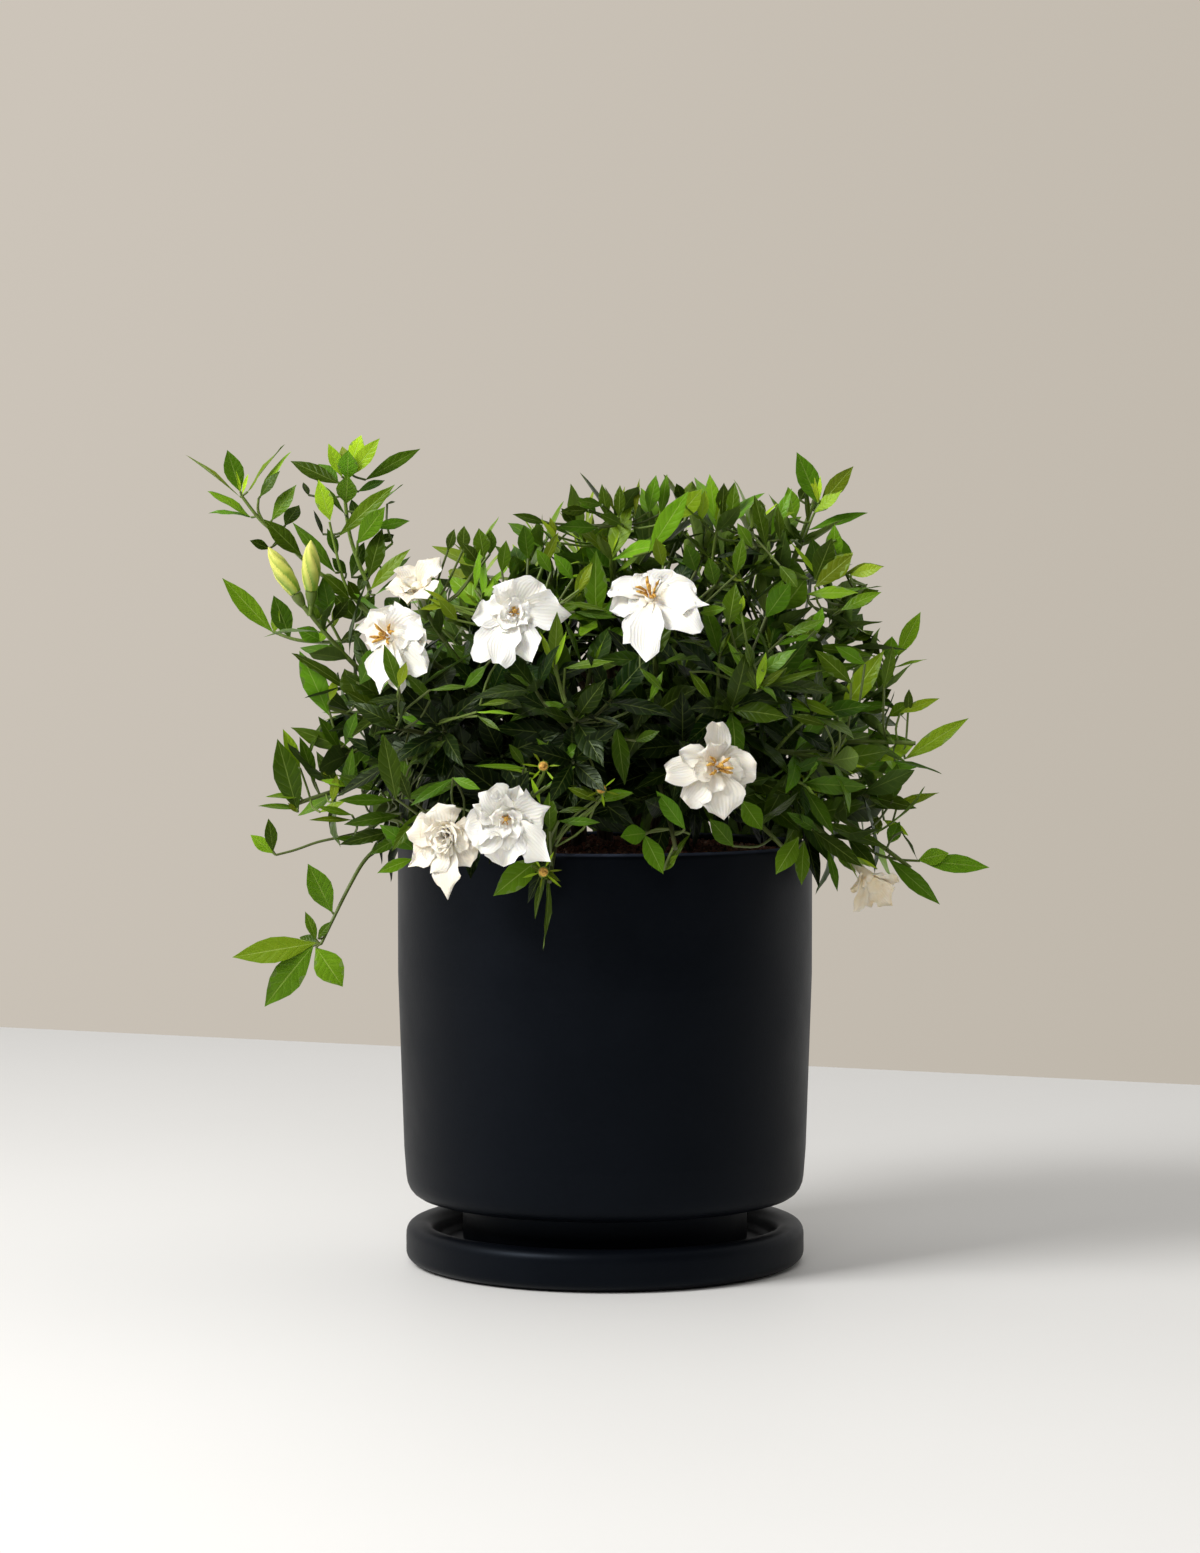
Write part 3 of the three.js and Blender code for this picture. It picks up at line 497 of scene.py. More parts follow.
def makeStamenMaterial():
    look = stamenLook
    material, tree, shader = newMaterial("stamen")
    patches = noiseAt(tree, objectPlace(tree), look["patches"], 3.0)
    colour = mixColour(tree, spread(tree, patches, 0.35, 0.65), look["pale"], look["dark"])
    plug(tree, shader.inputs["Base Color"], colour)
    shader.inputs["Roughness"].default_value = look["roughness"]
    bumpFrom(tree, shader, patches, *look["bump"])
    return material


budLook = {
    "pale": (0.72, 0.72, 0.15, 1),
    "green": (0.17, 0.3, 0.015, 1),
    "patches": 220.0,
    "uneven": 0.7,
    "roughness": (0.38, 0.5),
    "bump": (0.2, 0.0003),
}


# Green in the folds and at the foot, pale on the ridges.
def makeBudMaterial():
    look = budLook
    material, tree, shader = newMaterial("furledBud")
    along, fold = readUv(tree)
    patches = noiseAt(tree, objectPlace(tree), look["patches"], 4.0)
    green = calc(tree, "MULTIPLY_ADD", fold, -1.1, spread(tree, along, 0.0, 0.9, 1.35, 0.55))
    uneven = calc(tree, "SUBTRACT", patches, 0.5)
    green = calc(tree, "MULTIPLY_ADD", uneven, look["uneven"], green, clamp=True)
    coat(tree, shader, mixColour(tree, green, look["pale"], look["green"]), patches, look["roughness"])
    bumpFrom(tree, shader, patches, *look["bump"])
    return material


glaze = makeGlaze()
soilMaterial = makeSoilMaterial()
bark = makeBark()
greenStem = makeStemMaterial()
leafMaterial = makeLeafMaterial()
petalMaterial = makePetalMaterial()
stamenMaterial = makeStamenMaterial()
budMaterial = makeBudMaterial()
print("finishes made")

# ------------------------------------------------ camera, light and floor

view = {
    "place": (-2.6, -1900, 325),
    "pitch": 2.2,  # degrees down
    "lens": 84.9,
    "sensor": 36,
    "frame": (1200, 1553),  # pixels
}
studio = {
    "key": {"place": (-1500, -1000, 1600), "size": 900, "power": 51},
    "fill": {"place": (-300, -2900, 2000), "size": 1600, "power": 20, "shines": False},
    "wall": ((0.604, 0.552, 0.485, 1), (0.521, 0.474, 0.407, 1)),  # painted light and shade on the wall: lighter at the top left, darker at the low right
    "wallSlant": -0.5,
    "wallSpan": 0.22,
    "ambient": 0.73,
    "ambientColour": (1, 0.98, 0.95, 1),
    "frontShare": 0.1,  # how bright the room is in front of the pot, against behind it
    "frontToBack": (-0.6, 0.3),  # where that brightness starts and stops to change
    "floorEdge": ((0, 1027), (1200, 1085)),  # pixels, where the floor ends in the photo
    "floorReach": 2600,
    "floorThickness": 4,
    "floorColours": ((0.78, 0.77, 0.75, 1), (0.81, 0.8, 0.78, 1)),
    "floorPatches": 3.0,
    "floorRoughness": 0.6,
    "aim": (0, 0, 260),  # where the lamps point
}


def makeCamera():
    camera = bpy.data.objects.new("camera", bpy.data.cameras.new("camera"))
    bpy.context.scene.collection.objects.link(camera)
    camera.location = Vector(view["place"]) * metres
    camera.rotation_euler = (math.radians(90 - view["pitch"]), 0, 0)
    camera.data.lens = view["lens"]
    camera.data.sensor_width = view["sensor"]
    bpy.context.scene.camera = camera


# The way from the camera through a pixel of the photo.
def rayThrough(px, py):
    wide, high = view["frame"]
    focal = view["lens"] / view["sensor"] * high
    tilt = math.radians(view["pitch"])
    right, rise = (px - wide / 2) / focal, (high / 2 - py) / focal
    return Vector((right, math.cos(tilt) + rise * math.sin(tilt), rise * math.cos(tilt) - math.sin(tilt)))


def floorPoint(px, py):
    place, ray = Vector(view["place"]), rayThrough(px, py)
    return place + ray * (-place.z / ray.z)


# The point that a pixel shows where it is `depth` behind the pot's middle.
def spotAt(px, py, depth):
    place, ray = Vector(view["place"]), rayThrough(px, py)
    return place + ray * ((depth - place.y) / ray.y)


def makeFloor():
    left, right = (floorPoint(*edge) for edge in studio["floorEdge"])
    along = (right - left).normalized() * studio["floorReach"]
    middle = (left + right) / 2
    front = Vector((0, -studio["floorReach"], 0))
    top = [middle - along, middle + along, middle + along + front, middle - along + front]
    sheet = [p.copy() for p in top] + [p - up * studio["floorThickness"] for p in top]
    faces = [(3, 2, 1, 0), (4, 5, 6, 7), (0, 1, 5, 4), (1, 2, 6, 5), (2, 3, 7, 6), (3, 0, 4, 7)]
    mesh = meshFrom("studioFloor", sheet, faces, smooth=False)
    facesOut(mesh)
    material, tree, shader = newMaterial("paleFloor")
    tone = noiseAt(tree, objectPlace(tree), studio["floorPatches"])
    plug(tree, shader.inputs["Base Color"], mixColour(tree, tone, *studio["floorColours"]))
    shader.inputs["Roughness"].default_value = studio["floorRoughness"]
    mesh.materials.append(material)
    linkPiece("studioFloor", mesh)


def addLamp(name, place, size, power, shines=True):
    lamp = bpy.data.lights.new(name, "AREA")
    lamp.size, lamp.energy = size * metres, power
    piece = bpy.data.objects.new(name, lamp)
    bpy.context.scene.collection.objects.link(piece)
    piece.location = Vector(place) * metres
    piece.rotation_euler = (Vector(studio["aim"]) - Vector(place)).to_track_quat("-Z", "Y").to_euler()
    piece.visible_glossy = shines


def lightRoom():
    addLamp("key", **studio["key"])
    addLamp("fill", **studio["fill"])
    world = bpy.data.worlds.new("room")
    bpy.context.scene.world = world
    world.use_nodes = True
    tree = world.node_tree
    everyWay = addNode(tree, "ShaderNodeTexCoord").outputs["Generated"]
    direction = addNode(tree, "ShaderNodeSeparateXYZ", {0: everyWay})
    seen = tree.nodes["Background"]
    # The wall seen by the camera, with painted light and shade: lighter at the top left, darker at the low
    # right.
    across = calc(tree, "MULTIPLY_ADD", direction.outputs[2], studio["wallSlant"], direction.outputs[0])
    share = spread(tree, across, -studio["wallSpan"], studio["wallSpan"])
    plug(tree, seen.inputs["Color"], mixColour(tree, share, *studio["wall"]))
    towards = spread(tree, direction.outputs[1], *studio["frontToBack"], studio["frontShare"], 1.0)
    strength = calc(tree, "MULTIPLY", towards, studio["ambient"])
    glow = addNode(tree, "ShaderNodeBackground", {"Color": studio["ambientColour"], "Strength": strength})
    isCamera = addNode(tree, "ShaderNodeLightPath").outputs["Is Camera Ray"]
    both = addNode(tree, "ShaderNodeMixShader", {0: isCamera, 1: glow.outputs[0], 2: seen.outputs[0]})
    tree.links.new(both.outputs[0], tree.nodes["World Output"].inputs["Surface"])
    bpy.context.scene.view_settings.view_transform = "Standard"


makeCamera()
makeFloor()
lightRoom()
print("studio ready")

# ------------------------------------------------ pot and saucer

pot = {
    "rimRadius": 107.5, "rimHeight": 218, "baseRadius": 104.5, "underside": 34, "wall": 7,
    "footRadius": 74, "footBottom": 11.2, "floorTop": 20, "drainRadius": 7,
    "padHeight": 1.9, "padRadius": 6, "padCircle": 58, "padSides": 32, "pads": 3, "sides": 160,
}
saucer = {
    "radius": 103.5, "footRadius": 97, "lipHeight": 21, "wellRadius": 89, "floorTop": 9, "sides": 160,
}


def makePot():
    p = pot
    inner = p["rimRadius"] - p["wall"]
    foot, base = p["footRadius"], p["baseRadius"]
    corners = [
        (p["drainRadius"], p["footBottom"], 0.8),
        (foot, p["footBottom"], 2),
        (foot, p["underside"] - 1, 3),
        (foot + 5, p["underside"], 2),
        (base - 2, p["underside"], 20),
        (base, p["underside"] + 26, 6),
        (p["rimRadius"], 150, 30),
        (p["rimRadius"], p["rimHeight"], 3.4),
        (inner, p["rimHeight"], 3.4),
        (inner, 150, 30),
        (base - p["wall"], p["underside"] + 24, 6),
        (base - p["wall"] - 6, p["underside"] + 9, 6),
        (foot, p["underside"] + 7, 4),
        (foot - p["wall"], p["underside"] + 1, 4),
        (foot - p["wall"], p["floorTop"], 2),
        (p["drainRadius"], p["floorTop"], 0.8),
    ]
    mesh = turnedMesh("potBody", roundedOutline(corners, True), p["sides"], True)
    body = linkPiece("potBody", mesh)
    for i in range(p["pads"]):
        turn = math.pi / 2 + 2 * math.pi * i / p["pads"]
        low, high = p["footBottom"] - p["padHeight"], p["footBottom"] + 3
        corners = [(0, low, 0), (p["padRadius"], low, 0.8), (p["padRadius"], high, 0), (0, high, 0)]
        padMesh = turnedMesh("pad", roundedOutline(corners, False), p["padSides"], False)
        place = Vector((p["padCircle"] * math.cos(turn), p["padCircle"] * math.sin(turn), 0)) * metres
        padMesh.transform(Matrix.Translation(place))
        pad = linkPiece("pad", padMesh)
        joined = body.modifiers.new("pad", "BOOLEAN")
        joined.operation, joined.solver, joined.object = "UNION", "EXACT", pad
        keepEvaluated(body)
        bpy.data.objects.remove(pad)
    smoothByAngle(body.data, 40)
    body.data.materials.clear()
    body.data.materials.append(glaze)
    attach(body, rootBody)
    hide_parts("pot")


# Keeps an edge crisp where its two faces meet at more than an angle, in degrees.
def smoothByAngle(mesh, angle):
    work = bmesh.new()
    work.from_mesh(mesh)
    for edge in work.edges:
        edge.smooth = len(edge.link_faces) == 2 and edge.calc_face_angle(0) < math.radians(angle)
    work.to_mesh(mesh)
    work.free()


def makeSaucer():
    s = saucer
    corners = [
        (0, 0, 0),
        (s["footRadius"], 0, 1.2),
        (s["radius"], 3, 7),
        (s["radius"], s["lipHeight"], 8),
        (s["wellRadius"] + 1, s["lipHeight"], 7),
        (s["wellRadius"] - 1, s["floorTop"], 4),
        (0, s["floorTop"], 0),
    ]
    mesh = turnedMesh("saucerDish", roundedOutline(corners, False, 8), s["sides"], False)
    smoothByAngle(mesh, 50)
    mesh.materials.append(glaze)
    dish = linkPiece("saucerDish", mesh)
    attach(dish, rootBody)
    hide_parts("saucer")


makePot()
makeSaucer()
print("pot and saucer turned")

# ------------------------------------------------ soil

soil = {
    "edgeHeight": 211, "crown": 7, "grain": 1.3, "gap": 0.3,
    "topRings": 56, "sides": 150, "roughness": 1.4,
    "granules": 5200, "granuleSize": 1.15, "granuleShapes": 4, "seed": 11,
}


def soilHeight(x, y):
    share = math.hypot(x, y) / (pot["rimRadius"] - pot["wall"])
    grains = math.sin(x * 0.41 + 1.3 * math.sin(y * 0.23)) * math.sin(y * 0.37 + math.sin(x * 0.29))
    return soil["edgeHeight"] + soil["crown"] * (1 - share * share) + soil["grain"] * grains


def granuleShapes():
    shapes = bpy.data.collections.new("granuleShapes")
    for k in range(soil["granuleShapes"]):
        work = bmesh.new()
        bmesh.ops.create_icosphere(work, subdivisions=1, radius=1)
        for vert in work.verts:
            lump = 1 + 0.5 * noise.noise(vert.co * 1.3 + Vector((7 * k, 3, 1)))
            vert.co = Vector((vert.co.x * 1.25, vert.co.y * 0.9, vert.co.z * 0.7)) * lump
        mesh = bpy.data.meshes.new(f"granule{k}")
        work.to_mesh(mesh)
        work.free()
        shapes.objects.link(bpy.data.objects.new(f"granule{k}", mesh))
    return shapes


# Scatters granules over the faces that look up.
def granuleTree():
    tree, given, result = newTree("scatterGranules", {
        "Shapes": ("Collection", None),
        "Density": ("Float", 1000.0),
        "Size": ("Float", 0.001),
        "Seed": ("Int", 1),
        "Material": ("Material", None),
    })
    normal = addNode(tree, "GeometryNodeInputNormal").outputs[0]
    rise = addNode(tree, "ShaderNodeSeparateXYZ", {0: normal}).outputs[2]
    isTop = addNode(tree, "FunctionNodeCompare", {0: rise, 1: 0.5}, operation="GREATER_THAN").outputs[0]
    points = addNode(tree, "GeometryNodeDistributePointsOnFaces", {
        "Mesh": given["Geometry"], "Selection": isTop, "Density": given["Density"], "Seed": given["Seed"],
    })
    tint = addNode(tree, "FunctionNodeRandomValue", {"Seed": 5}, data_type="FLOAT")
    kept = addNode(tree, "GeometryNodeStoreNamedAttribute", {
        "Geometry": points.outputs[0], "Name": "tint", "Value": tint.outputs[1],
    }, data_type="FLOAT", domain="POINT")
    shapes = addNode(tree, "GeometryNodeCollectionInfo", {
        "Collection": given["Shapes"], "Separate Children": True, "Reset Children": True,
    })
    spin = addNode(tree, "FunctionNodeRandomValue", {
        "Min": (0, 0, 0), "Max": (2 * math.pi,) * 3, "Seed": 2,
    }, data_type="FLOAT_VECTOR")
    grow = addNode(tree, "FunctionNodeRandomValue", {2: 0.35, 3: 1.5, "Seed": 3}, data_type="FLOAT")
    size = calc(tree, "MULTIPLY", grow.outputs[1], given["Size"])
    placed = addNode(tree, "GeometryNodeInstanceOnPoints", {
        "Points": kept.outputs[0], "Instance": shapes.outputs[0], "Pick Instance": True,
        "Rotation": spin.outputs[0], "Scale": size,
    })
    both = addNode(tree, "GeometryNodeJoinGeometry")
    tree.links.new(given["Geometry"], both.inputs[0])
    tree.links.new(placed.outputs[0], both.inputs[0])
    real = addNode(tree, "GeometryNodeRealizeInstances", {"Geometry": both.outputs[0]})
    done = addNode(tree, "GeometryNodeSetMaterial", {
        "Geometry": real.outputs[0], "Material": given["Material"],
    })
    tree.links.new(done.outputs[0], result[0])
    return tree


def makeSoil():
    p, gap = pot, soil["gap"]
    side = p["rimRadius"] - p["wall"] - gap
    low = p["baseRadius"] - p["wall"] - gap
    shaft = p["footRadius"] - p["wall"] - gap
    outline = [
        (0, p["floorTop"] + gap),
        (shaft, p["floorTop"] + gap),
        (shaft, p["underside"] + 1 + 2 * gap),
        (p["footRadius"] - 2 * gap, p["underside"] + 7 + gap),
        (low - 6, p["underside"] + 9 + 2 * gap),
        (low, p["underside"] + 25),
        (side, 150),
        (side, soil["edgeHeight"] - 3),
    ]
    rings = soil["topRings"]
    outline += [(side * (1 - k / rings), soil["edgeHeight"]) for k in range(rings)]
    outline.append((0, soil["edgeHeight"]))

    def heightAt(x, y, z):
        if z < soil["edgeHeight"]:
            return z
        rough = noise.noise(Vector((x, y, 0)) * 0.35) + 0.6 * noise.noise(Vector((x, y, 9)) * 0.9)
        return soilHeight(x, y) + soil["roughness"] * rough

    mesh = turnedMesh("soilBed", outline, soil["sides"], False, heightAt)
    bed = linkPiece("soilBed", mesh)
    area = math.pi * (side * metres) ** 2
    growWith(granuleTree(), bed, {
        "Shapes": granuleShapes(),
        "Density": soil["granules"] / area,
        "Size": soil["granuleSize"] * metres,
        "Seed": soil["seed"],
        "Material": soilMaterial,
    })
    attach(bed, rootBody)
    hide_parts("soil")


makeSoil()
print("soil laid")

# ------------------------------------------------ how the plant branches

wood = {
    "footCircle": 27, "footDepth": 34, "footRadius": 4.2, "forkCircle": 50, "forkHeight": 270,
    "middleForkHeight": 300, "forkRadius": 3.2, "branchRadius": 2.2, "middleRadius": 2.1,
    "tipRadius": 1.8, "branchSpacing": 0.085, "outerStems": 6,
}
stem = {"baseRadius": 1.6, "tipRadius": 1.1, "shootRadius": 1.0, "shootReach": 28, "flowerFresh": 0.25}
blade = {"length": 38, "spacing": 17, "lightTurn": 0.85, "outwardLight": 1}
bloomTube = {"length": 13, "radius": 2.1, "throat": ((-5, 2.2), (-1, 3.2), (1.2, 2.2))}  # height, radius

# Where each leafy spray's stem ends, and how fresh its leaves are.
leafySprays = {
    "left_tall": ((-125, -10, 405), 0.85),
    "left_far": ((-187, -20, 396), 0.55),
    "left_mid": ((-172, 2, 324), 0.5),
    "left_shoulder": ((-145, -38, 290), 0.3),
    "left_low": ((-161, -30, 238), 0.25),
    "left_hanging": ((-143, -60, 168), 0.3),
    "top_1": ((-66, -20, 364), 0.5),
    "top_2": ((-34, 5, 376), 0.35),
    "top_3": ((6, -20, 388), 0.5),
    "top_4": ((44, 10, 391), 0.45),
    "top_5": ((77, -18, 384), 0.4),
    "right_tall": ((110, 0, 400), 0.6),
    "right_upper": ((134, -12, 351), 0.45),
    "right_mid": ((150, 0, 310), 0.5),
    "right_arrow": ((159, -25, 270), 0.45),
    "right_low": ((152, 5, 236), 0.5),
    "right_lowest": ((154, -55, 208), 0.4),
    "front_left_face": ((-103, -98, 280), 0.2),
    "front_left_drop": ((-27, -132, 206), 0.25),
    "front_middle_drop": ((34, -130, 222), 0.2),
    "front_face": ((-14, -140, 285), 0.1),
    "front_right_face": ((74, -120, 306), 0.3),
    "front_right_side": ((116, -88, 262), 0.3),
    "front_right_drop": ((92, -100, 216), 0.2),
    "back_left_low": ((-120, 98, 246), 0.3),
    "back_left_high": ((-88, 78, 345), 0.4),
    "back_low": ((-30, 146, 250), 0.3),
    "back_high": ((-8, 96, 365), 0.45),
    "back_middle": ((48, 132, 300), 0.35),
    "back_right_low": ((104, 112, 242), 0.3),
    "back_right_high": ((82, 84, 352), 0.4),
}
# Sprays that have only the leaves of the table below, and sprays whose outer leaves are in it.
openSprays = ("left_tall", "left_far", "left_mid", "left_hanging")
edgeSprays = (
    "left_shoulder", "left_low", "right_tall", "right_upper", "right_mid", "right_arrow", "right_low",
    "right_lowest", "front_left_drop", "front_middle_drop", "front_right_drop",
)
# Each bloom: its middle, the way it faces, its age from 0, fresh, to 1, cream, its heart, and its
# outer petals, each by its turn as seen from the front, in degrees, its length and its breadth.
blooms = {
    "left": {
        "at": (-106, -106, 325), "facing": (-0.35, -0.9, 0.1), "age": 0.05, "heart": "open",
        "petals": (
            (120, 18, 23), (62, 14, 17), (35, 22, 21), (0, 21, 19), (-38, 25, 19), (-72, 28, 12),
            (-96, 28, 18), (190, 12, 12),
        ),
    },
    "behind_left": {
        "at": (-94, -70, 350), "facing": (-0.2, -0.6, 0.8), "age": 0.4, "heart": "loose",
        "petals": ((190, 16, 17), (130, 13, 15), (40, 19, 15), (255, 15, 14), (320, 17, 14)),
    },
    "upper": {
        "at": (-44, -126, 336), "facing": (0.05, -0.95, 0.25), "age": 0, "heart": "spiral",
        "petals": (
            (92, 19, 23), (58, 22, 18), (5, 29, 19), (180, 21, 16), (225, 29, 16), (252, 26, 15),
            (291, 25, 15),
        ),
    },
    "top": {
        "at": (22, -120, 344), "facing": (-0.1, -0.82, 0.5), "age": 0, "heart": "open",
        "petals": (
            (190, 21, 19), (162, 21, 15), (110, 13, 17), (55, 19, 17), (14, 24, 15), (-9, 32, 15),
            (-35, 32, 19), (267, 35, 17), (245, 24, 14),
        ),
    },
    "right": {
        "at": (53, -140, 262), "facing": (0.25, -0.95, 0.1), "age": 0.2, "heart": "ragged",
        "petals": (
            (90, 25, 14), (60, 14, 13), (150, 21, 12), (180, 25, 14), (225, 21, 16), (280, 24, 22),
            (0, 20, 18), (322, 17, 15),
        ),
    },
    "lower_left": {
        "at": (-76, -132, 229), "facing": (-0.35, -0.9, -0.1), "age": 0.35, "heart": "rose",
        "petals": (
            (170, 21, 17), (214, 25, 14), (245, 19, 17), (273, 30, 16), (318, 17, 15), (105, 18, 19),
            (140, 15, 16), (10, 17, 15),
        ),
    },
    "lower": {
        "at": (-48, -146, 237), "facing": (0.1, -0.98, 0.1), "age": 0.05, "heart": "spiral",
        "petals": (
            (70, 20, 18), (22, 24, 19), (321, 29, 16), (268, 21, 21), (222, 19, 15), (186, 20, 17),
            (150, 19, 17), (118, 19, 16),
        ),
    },
    "hanging": {
        "at": (132, -70, 204), "facing": (0.55, -0.5, -0.6), "age": 0.75, "heart": "loose",
        "petals": ((236, 17, 9), (318, 17, 13), (5, 13, 12), (185, 12, 10), (275, 12, 13)),
    },
}
budSpray = {"tip": (-152, -48, 340), "approach": (-0.3, -0.1, 0.9), "fresh": 0.45, "stalk": 12}
buds = {
    "left": {"points": (-0.5, -0.1, 0.86), "length": 27, "radius": 5.2},
    "right": {"points": (0.02, -0.3, 0.95), "length": 26, "radius": 5.2},
}


# Some sprays were read in a close-up of the photo, which starts at this pixel and is this much larger.
closeUp = {"corner": (180, 420), "zoom": 5.6, "sprays": ("left_far", "left_tall", "left_mid", "buds")}
